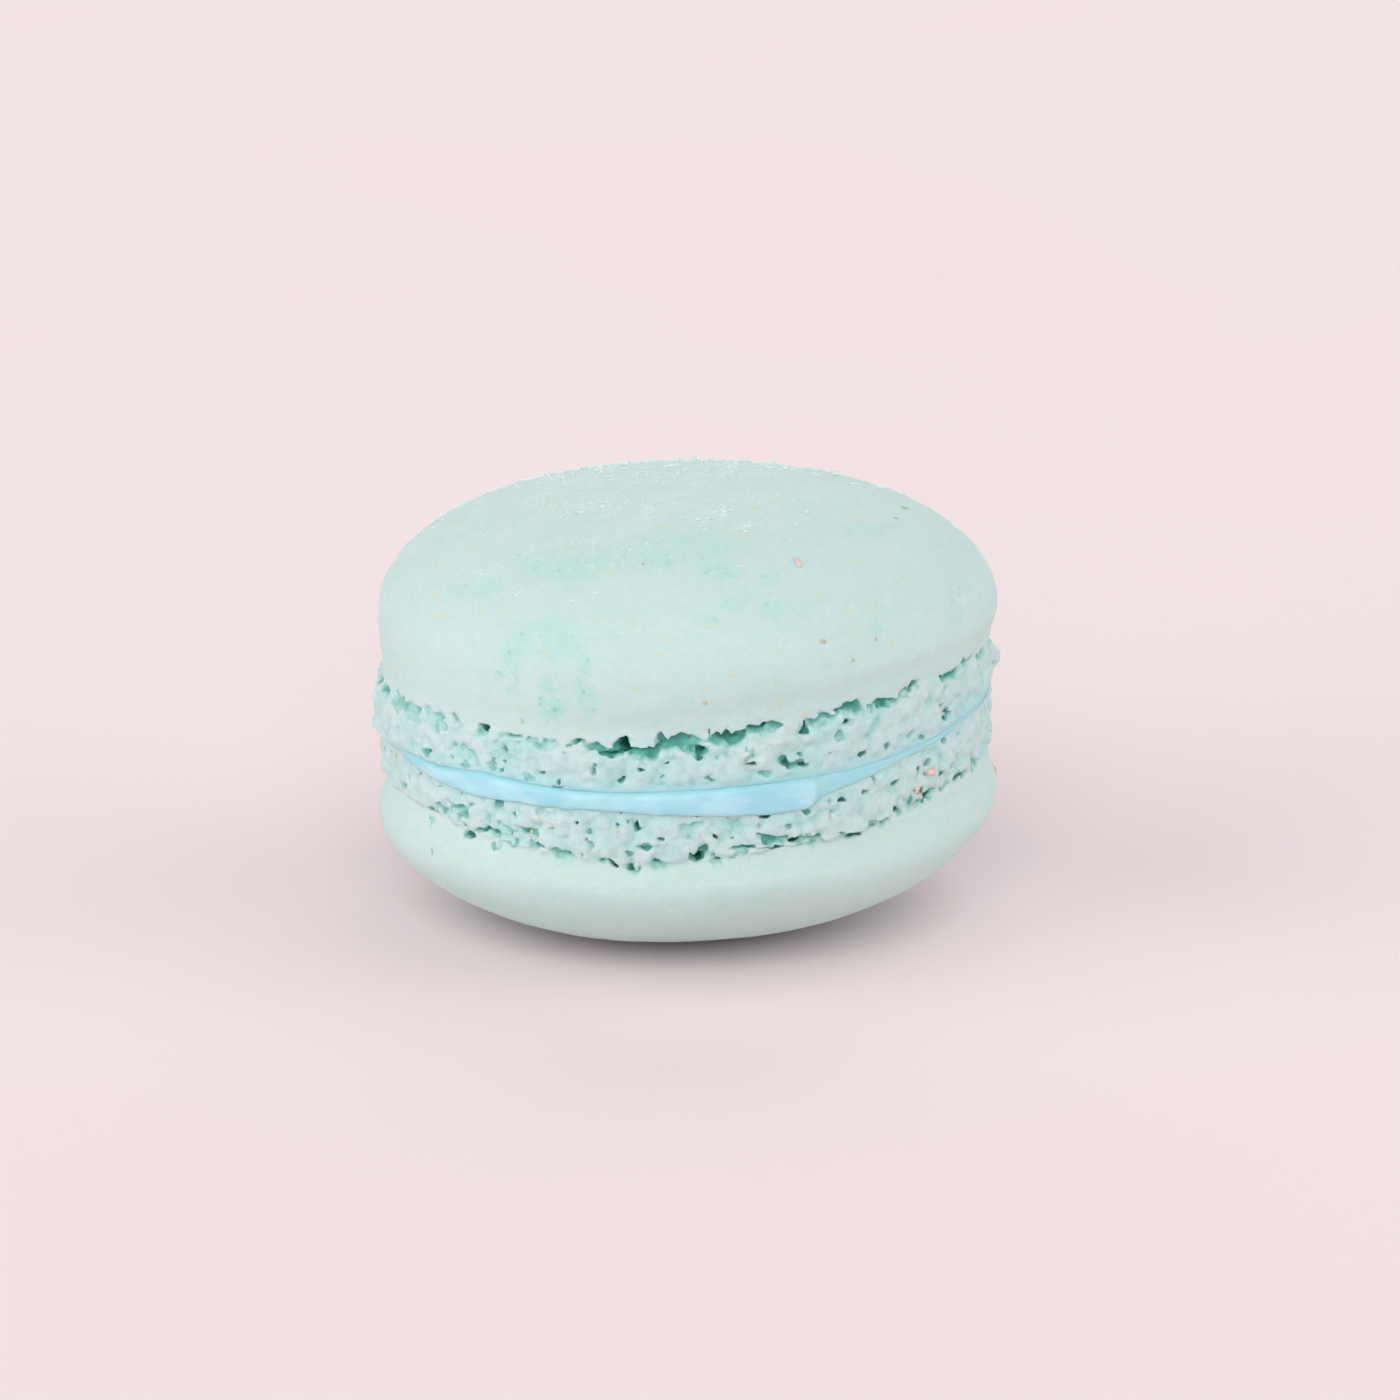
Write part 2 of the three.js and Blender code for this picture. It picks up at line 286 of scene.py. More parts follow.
LOWER_HOLES = (
    (498, 803, 10, 8, 1.0), (481, 796, 6, 4, 1.0), (429, 810, 6, 4, 0.7), (440, 807, 10, 4, 0.4),
    (462, 816, 6, 10, 0.6), (469, 835, 13, 8, 1.6), (431, 822, 5, 8, 0.3), (405, 788, 8, 10, 0.35),
    (508, 830, 10, 6, 0.4), (495, 848, 8, 6, 0.5), (574, 822, 5, 5, 1.2), (545, 810, 12, 8, 0.3),
    (622, 814, 4, 3, 1.2), (618, 823, 4, 4, 1.5), (629, 822, 3, 3, 1.2), (636, 827, 6, 9, 1.6),
    (648, 847, 12, 6, 0.9), (662, 839, 10, 4, 0.8), (629, 854, 8, 7, 0.5), (566, 855, 3, 3, 1.0),
    (560, 851, 22, 4, 0.5), (614, 865, 7, 5, 1.6), (628, 869, 7, 6, 1.5), (656, 862, 6, 6, 1.2),
    (695, 856, 14, 9, 2.2), (703, 849, 10, 10, 1.0), (713, 836, 7, 10, 1.2), (717, 862, 8, 7, 0.9),
    (742, 849, 30, 3, 0.9), (743, 848, 6, 4, 2.0), (742, 855, 16, 10, 0.45), (796, 839, 12, 8, 2.2),
    (773, 847, 26, 2, 1.2), (766, 817, 13, 6, 1.8), (762, 813, 6, 4, 1.0), (806, 810, 8, 5, 0.7),
    (842, 801, 8, 5, 1.3), (866, 791, 6, 5, 0.7), (840, 832, 10, 3, 1.5), (857, 834, 12, 3, 1.2),
    (873, 826, 10, 6, 0.6), (897, 813, 4, 4, 1.6), (878, 822, 16, 4, 0.5), (895, 782, 8, 5, 0.9),
    (918, 768, 5, 9, 1.2), (927, 762, 8, 4, 0.9), (930, 795, 5, 8, 1.4), (922, 791, 6, 12, 0.5),
    (942, 775, 3, 3, 1.4), (961, 774, 10, 7, 1.5), (958, 780, 6, 5, 0.7), (978, 757, 7, 4, 0.8),
    (975, 768, 3, 6, 0.9), (945, 787, 10, 5, 0.4), (908, 800, 12, 6, 0.4), (922, 803, 5, 6, 0.4),
    (951, 767, 6, 5, 0.4), (945, 741, 8, 3, 0.6), (697, 815, 8, 3, 0.8), (551, 829, 3, 4, 0.5),
)

# What the shell's material is told: how much a crease counts as a hollow for the painted shade, and how
# far up a foot the filling's stain reaches and where it is missing. Patches fade over PATCH_EDGE of their
# size.
LOW_SHARE = 0.52
LOW_FROM = 0.05
LOW_MOST = 0.5
STAIN_REACH = 0.6
STAIN_GAP = 0.85
STAIN_GAP_AT = (185, 34)
PATCH_EDGE = (0.5, 1.3)
PATCH_LEAN = 0.6
PATCH_DEPTH = 4
FAINT_POWDER = 0.55

# Worn, porous patches of the skin, powdery ones, and almond meal under it: x, y, half width and half
# height in pixels, then how strong each is.
SCUFFS = (
    (553, 700, 16, 26, 1.0), (588, 688, 13, 34, 0.75), (508, 664, 14, 20, 0.7), (522, 645, 16, 14, 0.5),
    (560, 565, 50, 16, 0.55), (480, 590, 40, 14, 0.35), (545, 640, 45, 26, 0.45), (720, 572, 24, 10, 0.6),
    (770, 578, 14, 8, 0.6), (735, 605, 24, 10, 0.45), (770, 610, 12, 7, 0.7), (708, 620, 16, 7, 0.5),
    (876, 627, 9, 6, 0.7), (860, 530, 40, 8, 0.4), (957, 600, 12, 30, 0.35), (690, 545, 60, 22, 0.4),
    (640, 560, 60, 12, 0.45), (515, 690, 10, 10, 0.4),
)
POWDERED = (
    (712, 514, 20, 10, 0.6), (690, 523, 12, 10, 0.3), (520, 594, 16, 7, 0.35), (482, 574, 12, 7, 0.3),
    (574, 603, 7, 6, 0.45), (455, 528, 14, 6, 0.3), (560, 488, 20, 7, 0.3), (612, 500, 18, 8, 0.25),
    (962, 600, 7, 6, 0.45), (742, 528, 10, 6, 0.4),
)
MEAL_SPOTS = (
    (440, 616, 9, 4, 0.9), (461, 584, 5, 4, 0.7), (442, 564, 5, 3, 0.6), (546, 498, 6, 3, 0.6),
    (561, 510, 11, 2, 0.4), (471, 549, 6, 2, 0.5), (604, 572, 10, 3, 0.7), (589, 575, 11, 2, 0.5),
    (565, 548, 4, 3, 0.5), (606, 618, 7, 5, 0.6), (567, 621, 7, 3, 0.4), (634, 620, 7, 4, 0.5),
    (523, 579, 5, 4, 0.4), (860, 561, 9, 3, 0.7), (820, 597, 7, 5, 0.6), (897, 581, 8, 3, 0.6),
    (907, 563, 4, 4, 0.5), (853, 632, 8, 6, 0.6), (818, 632, 6, 5, 0.5), (804, 526, 14, 2, 0.5),
    (820, 541, 10, 2, 0.4), (931, 590, 4, 4, 0.5), (863, 518, 14, 5, 0.35), (754, 508, 5, 4, 0.5),
    (727, 595, 9, 3, 0.45), (922, 526, 6, 3, 0.5), (877, 608, 5, 5, 0.4), (740, 536, 16, 7, 0.5),
)

# What the filling's material is told: where, from the middle level to an edge, the painted shade along
# the rim starts and ends, over and under the middle, how strong it is under, and how strong off the bead.
RIM_ABOVE = (0.35, 0.75)
RIM_BELOW = (0.6, 0.9)
RIM_BELOW_SHARE = 0.5
THIN_SHADE = 0.8

# Sugar strewn over the top: how many grains, their size, and where they lie thickest.
SUGAR_SEED = 5
SUGAR_OVER_TOP = 6000
SUGAR_TRIED = 6
SUGAR_SIZE = 0.03
SUGAR_MIDDLE = (-4.0, 4.5)
SUGAR_THINS = (9.0, 21.0)
SUGAR_HIGH = (23.5, 27.5)
PATCHES_SHOW = (-0.35, 0.45)
LEAST_SUGAR = 0.05
BARE_SUGAR = 0.2
# Heaped and clustered grains are paler than strewn ones: partly frost, partly painted light against their
# shade.
STREWN_BRIGHT = 0.5
CLEAR_SHARE = 0.06

# Shape of a grain: its sides, how far its corners stray, how flat it is, how much it tilts, and how
# far it is sunk or lifted. Then how much bigger than strewn grains the others are, and how much the
# sizes of strewn, clustered and heaped grains differ.
GRAIN_SIDES = (0.6, 1.3)
GRAIN_STRAY = 0.17
GRAIN_FLATNESS = 0.6
GRAIN_TILT = 0.3
GRAIN_SUNK = (-0.5, 0.7)
CLUSTER_GRAIN, HEAP_GRAIN = 1.2, 1.3
STREWN_SIZES, CLUSTER_SIZES, HEAP_SIZES = 0.42, 0.4, 0.35
CUBE = np.array(list(np.ndindex(2, 2, 2))) - 0.5
CUBE_FACES = ((0, 1, 3, 2), (4, 6, 7, 5), (0, 4, 5, 1), (2, 3, 7, 6), (0, 2, 6, 4), (1, 5, 7, 3))

# Clusters of sugar that show, in pixels: the middle, how far it spreads, and how many grains.
CLUSTER_SPREAD = np.array([1, 0.6])
CLUSTER_CORE = 1.6
SUGAR_CLUSTERS = (
    (718, 512, 14, 90), (741, 528, 8, 30), (742, 529, 4, 10), (700, 524, 12, 30), (482, 573, 7, 16),
    (516, 593, 6, 16), (573, 603, 4, 10), (512, 682, 5, 10), (592, 592, 5, 8), (588, 547, 16, 40),
    (612, 510, 10, 24), (656, 508, 9, 12), (545, 486, 10, 20), (770, 464, 16, 30), (745, 456, 10, 26),
    (700, 462, 14, 26), (678, 457, 8, 18), (583, 465, 9, 16), (520, 487, 9, 14), (440, 520, 10, 14),
    (440, 590, 12, 8), (386, 600, 5, 8), (386, 625, 5, 6), (783, 565, 4, 6), (745, 563, 8, 12),
    (838, 470, 10, 12), (905, 490, 8, 8), (960, 598, 4, 5), (963, 597, 2, 4), (687, 602, 5, 6),
    (590, 510, 22, 40), (520, 560, 20, 26), (640, 480, 26, 50), (800, 490, 24, 34), (640, 545, 20, 30),
)

# Heaps of sugar on the outline of the top, in pixels: the middle, width and height. Each is moved
# along the view by up to HEAP_SHIFT, and more heaps of random size lie behind the outline.
SUGAR_HEAPS = (
    (386, 600, 3, 2), (386, 625, 3, 2), (398, 560, 4, 2), (405, 545, 4, 3), (420, 532, 5, 3),
    (437, 514, 6, 4), (448, 506, 5, 3), (460, 500, 7, 4), (474, 496, 5, 3), (485, 490, 7, 4),
    (500, 485, 5, 3), (518, 481, 7, 3), (545, 473, 9, 4), (560, 470, 5, 3), (583, 464, 8, 4),
    (605, 462, 5, 2), (628, 460, 8, 3), (655, 459, 6, 3), (678, 456, 9, 4), (694, 455, 9, 5),
    (713, 456, 9, 5), (730, 458, 6, 3), (747, 455, 9, 4), (774, 456, 10, 5), (790, 461, 6, 3),
    (810, 466, 8, 4), (824, 470, 6, 3), (838, 472, 9, 4), (855, 480, 5, 2), (880, 486, 5, 3),
    (905, 494, 7, 3), (930, 508, 4, 2), (957, 523, 6, 3), (984, 547, 5, 3), (995, 580, 3, 2),
)
HEAP_GRAINS = 1.6
HEAP_SPREAD = 0.5
HEAP_SHIFT = 3.0
HEAPS_BEHIND = 500
BEHIND_HIGH = (22.5, 26.0)
BEHIND_FAR = (3.0, 8.0)
BEHIND_WIDE = (3, 10)
BEHIND_TALL = (1, 2.5)
CROWN_CURVE = 30.0
OUTLINE_MIDDLE = (690, 690)
OUTLINE_SEARCH = 16

# Crumbs and flecks, one piece of each kind: the piece, its material and two colours, how thick they
# are for their width, a seed, and the marks that show in pixels: the middle, width and height.
CRUMBS = (
    ("pink_crumbs", "pink_crumb", (0.77, 0.5, 0.46), (0.83, 0.63, 0.59), 0.6, 31, (
        (798, 563, 6, 10), (931, 772, 10, 7), (935, 768, 5, 4), (917, 788, 7, 11), (919, 795, 6, 4),
        (937, 779, 3, 2), (943, 772, 2, 2), (998, 771, 6, 8), (1000, 774, 4, 4), (381, 743, 3, 6),
        (384, 749, 3, 3),
    )),
    ("almond_skin_flecks", "almond_skin", (0.57, 0.5, 0.4), (0.49, 0.42, 0.33), 0.2, 37, (
        (625, 466, 10, 4), (905, 508, 11, 4), (896, 518, 5, 3), (823, 642, 8, 4), (643, 564, 3, 2),
        (876, 639, 3, 4), (830, 815, 2, 9),
    )),
    ("almond_meal_flecks", "almond_meal", (0.57, 0.54, 0.42), (0.58, 0.5, 0.32), 0.2, 41, (
        (853, 660, 4, 4), (705, 703, 5, 4), (522, 721, 3, 4), (432, 851, 4, 6), (396, 756, 6, 5),
        (618, 830, 4, 5), (532, 832, 4, 6), (728, 818, 4, 3),
    )),
)
CRUMB_LUMPS = (0.36, 0.7)
CRUMB_SQUEEZE = 0.65
CRUMB_LIFT = 0.25
CRUMB_VARIETY = 30

# Colours.
SKIN = (0.56, 0.71, 0.69)
SKIN_TEAL = (0.465, 0.685, 0.64)
SKIN_PALE = (0.615, 0.735, 0.725)
ALMOND = (0.6, 0.67, 0.52)
SCUFFED = (0.4, 0.69, 0.62)
# Pores in worn patches: their teal inside, and painted shade in the pits.
PORE_TEAL_AND_SHADE = (0.27, 0.58, 0.5)
POWDER = (0.72, 0.78, 0.775)
FOOT = (0.57, 0.7, 0.695)
FOOT_COOL = (0.48, 0.68, 0.67)
FOOT_WARM = (0.57, 0.675, 0.655)
# Painted shade: the darker teal in the feet's creases, where shade falls between the lumps.
CREASE_SHADE = (0.4, 0.68, 0.635)
STAINED = (0.35, 0.7, 0.75)
# Holes: their teal inside, with painted shade that darkens them towards dark green with depth.
SHALLOW_HOLE_TEAL_AND_SHADE = (0.14, 0.49, 0.42)
DEEP_HOLE_TEAL_AND_SHADE = (0.006, 0.23, 0.165)
CREAM = (0.455, 0.74, 0.82)
CREAM_DEEP = (0.345, 0.66, 0.765)
CREAM_SPOT = (0.2, 0.66, 0.8)
# Painted shade of the cream along its rims, where the feet meet it, and where it is thin and set back.
CREAM_SHADE = (0.33, 0.67, 0.725)
SUGAR_MINT = (0.7, 0.83, 0.815)
SUGAR_WHITE = (0.82, 0.9, 0.895)
SUGAR_GLINT = (0.93, 0.95, 0.95)
FLOOR_PALE = (0.9, 0.776, 0.792)
FLOOR_PINK = (0.91, 0.771, 0.782)
WORLD = (1.0, 0.98, 0.98, 1)

# Clouds in the materials: size in mm, detail, roughness, the noise at which each starts and is full,
# and how strong it is then. Those of the skin come with their stretch upwards and colour, in order.
SKIN_PATCHES = ((7.0, 2.0, 0.5, 0.42, 0.62, 1.0), (1.7, 4.0, 0.6, 0.42, 0.62, 0.6))
SKIN_CLOUDS = (
    (1.7, (0.9, 2.0, 0.5, 0.6, 0.74, 0.55), SKIN_TEAL),
    (1.7, (2.6, 3.0, 0.5, 0.55, 0.72, 0.6), SKIN_PALE),
    (1.7, (0.5, 4.0, 0.75, 0.38, 0.66, 0.45), SKIN_TEAL),
    (3, (0.4, 4.0, 0.75, 0.4, 0.66, 0.5), SKIN_PALE),
)
SCUFF_CLOUD = (1.0, 3.0, 0.6, 0.3, 0.6, 1.0)
POWDER_CLOUD = (0.5, 3.0, 0.7, 0.35, 0.65, 1.0)
MEAL_CLOUD = (0.6, 4.0, 0.7, 0.42, 0.58, 1.0)
COOL_CLOUD = (2.6, 3.0, 0.6, 0.4, 0.66, 1.0)
WARM_CLOUD = (3.0, 2.0, 0.5, 0.56, 0.68, 0.35)
HOLLOW_CLOUD = (0.5, 3.0, 0.5, 0.2, 0.8, 0.12)
STAIN_CLOUD = (1.6, 3.0, 0.5, 0.1, 0.55, 1.0)
CREAM_CLOUD = (1.6, 3.0, 0.5, 0.35, 0.65, 1.0)
SPOT_CLOUD = (0.45, 2.0, 0.5, 0.68, 0.76, 0.5)
# Clouds of the painted shade along the cream's rims.
CREAM_SHADE_CLOUD = (1.2, 2.0, 0.5, 0.1, 0.5, 1.0)
FROST_CLOUD = (0.9, 2.0, 0.5, 0.35, 0.7, 0.3)
CRUMB_CLOUD = (0.3, 3.0, 0.5, 0.35, 0.65, 1.0)
FLOOR_CLOUD = (160.0, 2.0, 0.5, 0.3, 0.7, 1.0)

# Depths in mm over which a hollow takes each colour, and how strong it is at the end. The creases take
# painted shade; the holes take their teal inside and painted shade that darkens it with depth.
CREASE_SHADE_COLOURS = ((0.06, 0.26, 0.7, CREASE_SHADE),)
HOLE_TEAL_AND_SHADE_COLOURS = ((0.16, 0.7, 1.0, SHALLOW_HOLE_TEAL_AND_SHADE), (0.8, 2.2, 1.0, DEEP_HOLE_TEAL_AND_SHADE))

# Light that goes into a surface and comes out again: weight, how far each colour goes, and mm.
SHELL_GLOW = (0.5, (0.85, 1.0, 0.95), 0.8)
CREAM_GLOW = (0.4, (0.6, 0.9, 1.0), 0.8)

# Finish of each surface: how rough and how shiny it is. Clear grains of sugar are smoother.
SHELL_FINISH, CREAM_FINISH, SUGAR_FINISH = (0.82, 0.25), (0.42, 0.5), (0.5, 0.5)
CRUMB_FINISH, FLOOR_FINISH = (0.7, 0.3), (0.8, 0.1)
SUGAR_ROUGHNESS = (1.5, 0.0, 0.6)

# Fine relief: its strength and height in mm, and the size, detail and roughness of its clouds. Then the
# size of the pores and the distances from their middles at which they start and are full.
SHELL_RELIEF, CREAM_RELIEF = (0.45, 0.06), (0.3, 0.08)
SHELL_GRAINS = ((0.22, 2.0, 0.6), (0.7, 2.0, 0.5))
FOOT_CRUMBLE, CRUMBLE_SHARE = (0.45, 5.0, 0.75), 2.2
CREAM_GRAIN = (0.5, 3.0, 0.5)
CREAM_STRETCH, SPOT_STRETCH = (0.45, 0.45, 1.3), (0.5, 0.5, 1.6)
PORE_SIZE, PORE_REACH = 0.7, (0.3, 0.12)

# Almond flecks: how flat, how many to a mm, where they start and are full from their middle, which
# of them show, and how far and how finely their outlines wander.
FLECK_FLATNESS = 1.9
FLECK_CELLS = 0.62
FLECK_REACH = (0.27, 0.1)
FLECKS_SHOW = (0.4, 0.95, 0.75)
FLECK_WANDER, WANDER_CELLS, WANDER_DETAIL = 0.9, 2.2, 2.0

# Broad, far lights: name, degrees to the left of the camera, degrees up, strength, width in degrees.
LIGHTS = (
    ("front_softbox", 0, 32, 1.22, 40), ("left_softbox", 25, 32, 0.18, 40), ("left_side", 75, 20, 0.84, 70),
    ("left_high", 75, 45, 0.61, 70), ("left_low", 55, 9, 0.62, 40), ("right_side", -75, 45, 0.89, 70),
    ("right_low", -80, 9, 0.71, 40), ("back_right", -130, 45, 0.3, 70), ("back", 180, 25, 1.05, 70),
)
WORLD_STRENGTH = 0.03
FLOOR_SIZE = 6


# ---------------------------------------------------------------- helpers


def wobble(angle, seed):
    """Smooth unevenness round the axis, between about -1 and 1."""
    return sum(height * np.sin(count * angle + turn * seed) for count, height, turn in WOBBLES)


def waves(parts, angle):
    """Sum of slow waves round an edge, each (how many, height, turn in degrees)."""
    return sum(height * np.cos(count * angle + math.radians(turn)) for count, height, turn in parts)


def bump(angle, at, width):
    """A smooth bump of height 1 in one direction, falling off over its width in degrees."""
    return np.exp((np.cos(angle - math.radians(at)) - 1) / (1 - math.cos(math.radians(width))))


def bumps(angle, parts):
    """Sum of bumps, each (height, direction, width)."""
    return sum(height * bump(angle, at, width) for height, at, width in parts)


def smooth(value, low, high):
    """0 below low and 1 above high, with an S between."""
    share = np.clip((value - low) / (high - low), 0, 1)
    return share * share * (3 - 2 * share)


def turn_between(angle, start):
    """The turn from start to angle, between half a turn back and half a turn on."""
    return (angle - start + math.pi) % TURN - math.pi


def round_axis(radius, angle, height):
    """Points at radii, directions and heights."""
    return np.stack([radius * np.cos(angle), radius * np.sin(angle), height], 1)


def unit(vectors):
    """Vectors made 1 long."""
    return vectors / np.linalg.norm(vectors, axis=1)[:, None]


def pixel_ray(pixels):
    """Directions from the camera through pixels of the picture."""
    pixels = np.asarray(pixels, float)
    across = (pixels[:, 0] - PICTURE / 2) / PICTURE * SENSOR / LENS
    upward = (PICTURE / 2 - pixels[:, 1]) / PICTURE * SENSOR / LENS
    return unit(FORWARD + across[:, None] * RIGHTWARD + upward[:, None] * UPWARD)


def on_cylinder(pixels, radius):
    """Directions round the axis and heights at which pixels meet an upright cylinder."""
    rays = pixel_ray(pixels)
    a = (rays[:, :2] ** 2).sum(1)
    b = 2 * (rays[:, :2] @ EYE[:2])
    c = (EYE[:2] ** 2).sum() - radius**2
    along = (-b - np.sqrt(np.maximum(b * b - 4 * a * c, 0))) / (2 * a)
    points = EYE + along[:, None] * rays
    return np.arctan2(points[:, 1], points[:, 0]), points[:, 2]


def turned_axes(tilt, spin):
    """A rotation that keeps the noise's own grid off the object's axes."""
    ct, st, cs, ss = math.cos(tilt), math.sin(tilt), math.cos(spin), math.sin(spin)
    about_x = np.array([[1, 0, 0], [0, ct, -st], [0, st, ct]])
    about_z = np.array([[cs, -ss, 0], [ss, cs, 0], [0, 0, 1]])
    return about_x @ about_z


NOISE_TURN = turned_axes(0.7, 0.5)


def noise(points, size, seed):
    """Smooth random values between -1 and 1, whose bumps are about size apart."""
    lattice = np.random.default_rng(seed).random((NOISE_CELLS,) * 3, dtype=np.float32) * 2 - 1
    turned = points @ NOISE_TURN.astype(points.dtype) / size
    base = np.floor(turned)
    part = turned - base
    part = part * part * (3 - 2 * part)
    low = base.astype(np.int32) % NOISE_CELLS
    high = (low + 1) % NOISE_CELLS
    total = 0
    for x, wx in ((low[..., 0], 1 - part[..., 0]), (high[..., 0], part[..., 0])):
        for y, wy in ((low[..., 1], 1 - part[..., 1]), (high[..., 1], part[..., 1])):
            for z, wz in ((low[..., 2], 1 - part[..., 2]), (high[..., 2], part[..., 2])):
                total = total + lattice[x, y, z] * (wx * wy * wz)
    return total


def buds_of(points, size, seed):
    """Rounded bumps packed side by side, 1 on top of a bump and about a half in the creases."""
    lattice = np.random.default_rng(seed).random((NOISE_CELLS, NOISE_CELLS, NOISE_CELLS, 3))
    places = points @ NOISE_TURN / size
    base = np.floor(places).astype(int)
    nearest = np.full(places.shape[:-1], 9.0)
    for offset in np.ndindex(3, 3, 3):
        cell = base + np.array(offset) - 1
        inside = cell % NOISE_CELLS
        middle = cell + lattice[inside[..., 0], inside[..., 1], inside[..., 2]]
        nearest = np.minimum(nearest, ((middle - places) ** 2).sum(-1))
    return 1 - np.minimum(nearest, 1)


def layered(points, layers, seed=0, kind=noise):
    """Sum of layers of noise, each (height, size, seed), whose seeds start from a shell's own."""
    return sum(height * kind(points, size, seed + offset) for height, size, offset in layers)


class Growing:
    """A mesh that is built up from rings of points, each ring closed round the axis."""

    def __init__(self):
        self.points = []
        self.faces = []
        self.count = 0

    def add(self, points):
        """Adds points and returns their numbers."""
        points = np.asarray(points, float).reshape(-1, 3)
        numbers = np.arange(self.count, self.count + len(points))
        self.points.append(points)
        self.count += len(points)
        return numbers

    def add_faces(self, faces):
        """Adds faces, each a row of point numbers."""
        self.faces.extend(np.asarray(faces).tolist())

    def join(self, ring, following):
        """Faces between two rings that have as many points, or the second half as many."""
        after = np.roll(ring, -1)
        following_after = np.roll(following, -1)
        if len(ring) == len(following):
            self.add_faces(np.stack([ring, after, following_after, following], 1))
            return
        even, odd, even_after = ring[0::2], ring[1::2], np.roll(ring[0::2], -1)
        self.add_faces(np.stack([even, odd, following], 1))
        self.add_faces(np.stack([odd, following_after, following], 1))
        self.add_faces(np.stack([odd, even_after, following_after], 1))

    def close(self, ring, pole):
        """A fan of triangles from a ring to one point."""
        middle = np.full(len(ring), self.add([pole])[0])
        self.add_faces(np.stack([ring, np.roll(ring, -1), middle], 1))

    def close_face(self, ring, angles, side):
        """The flat face between a shell and the filling, from its rim to its middle."""
        level = FILLING_HEIGHT + side * FACE_GAP
        lean = math.tan(math.radians(FILLING_LEAN))
        stride = 1
        for share in FACE_RINGS:
            stride *= 2
            turn = angles[::stride]
            radius = FACE_RADIUS * share
            following = self.add(round_axis(radius, turn, level + radius * np.cos(turn) * lean))
            self.join(ring, following)
            ring = following
        self.close(ring, [0, 0, level])

    def all_points(self):
        """Every point so far, in order."""
        return np.concatenate(self.points)


def make_piece(name, points, faces, material, smooth_faces=True):
    """A mesh object in metres, with its faces turned outwards."""
    mesh = bpy.data.meshes.new(name)
    mesh.from_pydata((np.asarray(points) * METRES).tolist(), [], faces)
    shaped = bmesh.new()
    shaped.from_mesh(mesh)
    bmesh.ops.recalc_face_normals(shaped, faces=shaped.faces)
    shaped.to_mesh(mesh)
    shaped.free()
    mesh.polygons.foreach_set("use_smooth", [smooth_faces] * len(mesh.polygons))
    mesh.materials.append(material)
    piece = bpy.data.objects.new(name, mesh)
    bpy.context.scene.collection.objects.link(piece)
    return piece


def keep_values(piece, name, values):
    """Stores one number per point for the material to read; points without a value get 0."""
    missing = len(piece.data.vertices) - len(values)
    values = np.concatenate([values, np.zeros(missing)])
    layer = piece.data.attributes.new(name, "FLOAT", "POINT")
    layer.data.foreach_set("value", np.asarray(values, np.float32))


# ---------------------------------------------------------------- edges and outline


def round_edge(base, pixels):
    """An edge's height in every direction: the base line, moved to the pixels at the front."""
    angle, height = on_cylinder(pixels, EDGE_RADIUS)
    seen = np.rint((angle % TURN) / TURN * STEPS).astype(int) % STEPS
    order = np.argsort(seen)
    seen, offset = seen[order], (height[order] - base[seen[order]])
    taper = int(STEPS * TAPER / 360)
    knots = np.concatenate([[seen[0] - taper], seen, [seen[-1] + taper]])
    moved = np.interp(np.arange(STEPS), knots, np.concatenate([[0], offset, [0]]))
    for _ in range(EDGE_SMOOTHINGS):
        moved = (np.roll(moved, 1) + moved + np.roll(moved, -1)) / 3
    return base + moved


def leaned_line(height, lean, wave_parts):
    """Heights round the axis of a line that leans up to the right and has slow waves."""
    slope = math.tan(math.radians(lean)) * FOOT_RADIUS
    return height + slope * np.cos(ANGLES) + waves(wave_parts, ANGLES)


def filling_edges():
    """Heights of the filling's top and bottom edges in every direction."""
    half = FILLING_THICKNESS / 2 * (1 - bumps(ANGLES, FILLING_PINCHES))
    middle = leaned_line(FILLING_HEIGHT, FILLING_LEAN, FILLING_WAVES)
    top = round_edge(middle + half, FILLING_TOP_EDGE)
    bottom = round_edge(middle - half, FILLING_BOTTOM_EDGE)
    return np.maximum(top, bottom + FILLING_THINNEST), bottom


def outline_radius(shell, angle, above_lip, room):
    """Radius of the skin at a distance from the lip, from the lip to the widest line."""
    rise = np.sin(math.pi / 2 * np.clip(above_lip / room, 0, 1))
    crease = crease_depth(shell, angle, above_lip)
    uneven = OUTLINE_WOBBLE * wobble(angle, shell["seed"])
    start = LIP_RADIUS + shell["lip_spread"] * bump(angle, *SPREAD_AT)
    return start + (shell["radius"] - start) * rise - crease + uneven


def crease_depth(shell, angle, above_lip):
    """Depth of the soft crease that runs round the skin beside the lip, faint at the front left."""
    at, width, depth = shell["crease"]
    share = 1 - CREASE_FADE * bump(angle, *CREASE_FADES_AT)
    return depth * share * np.exp(-(((above_lip - at) / width) ** 2))


def foot_outline(shell, angle):
    """Radius of a foot before its lumps, in every direction."""
    spread = shell["foot_spread"] * bump(angle, *SPREAD_AT)
    return FOOT_RADIUS + spread + OUTLINE_WOBBLE * wobble(angle, shell["seed"])


# ---------------------------------------------------------------- feet


def crossing_means(cells, values):
    """Each cell's point: the mean of the places where the surface crosses its edges."""
    total = np.zeros((len(cells), 3))
    count = np.zeros(len(cells))
    for start, low in values.items():
        for axis in range(3):
            if start[axis]:
                continue
            end = tuple(1 if at == axis else part for at, part in enumerate(start))
            high = values[end]
            crossing = (low < 0) != (high < 0)
            share = np.where(crossing, low / np.where(crossing, low - high, 1), 0)
            total[crossing] += np.array(start)
            total[crossing, axis] += share[crossing]
            count += crossing
    return cells + total / count[:, None]


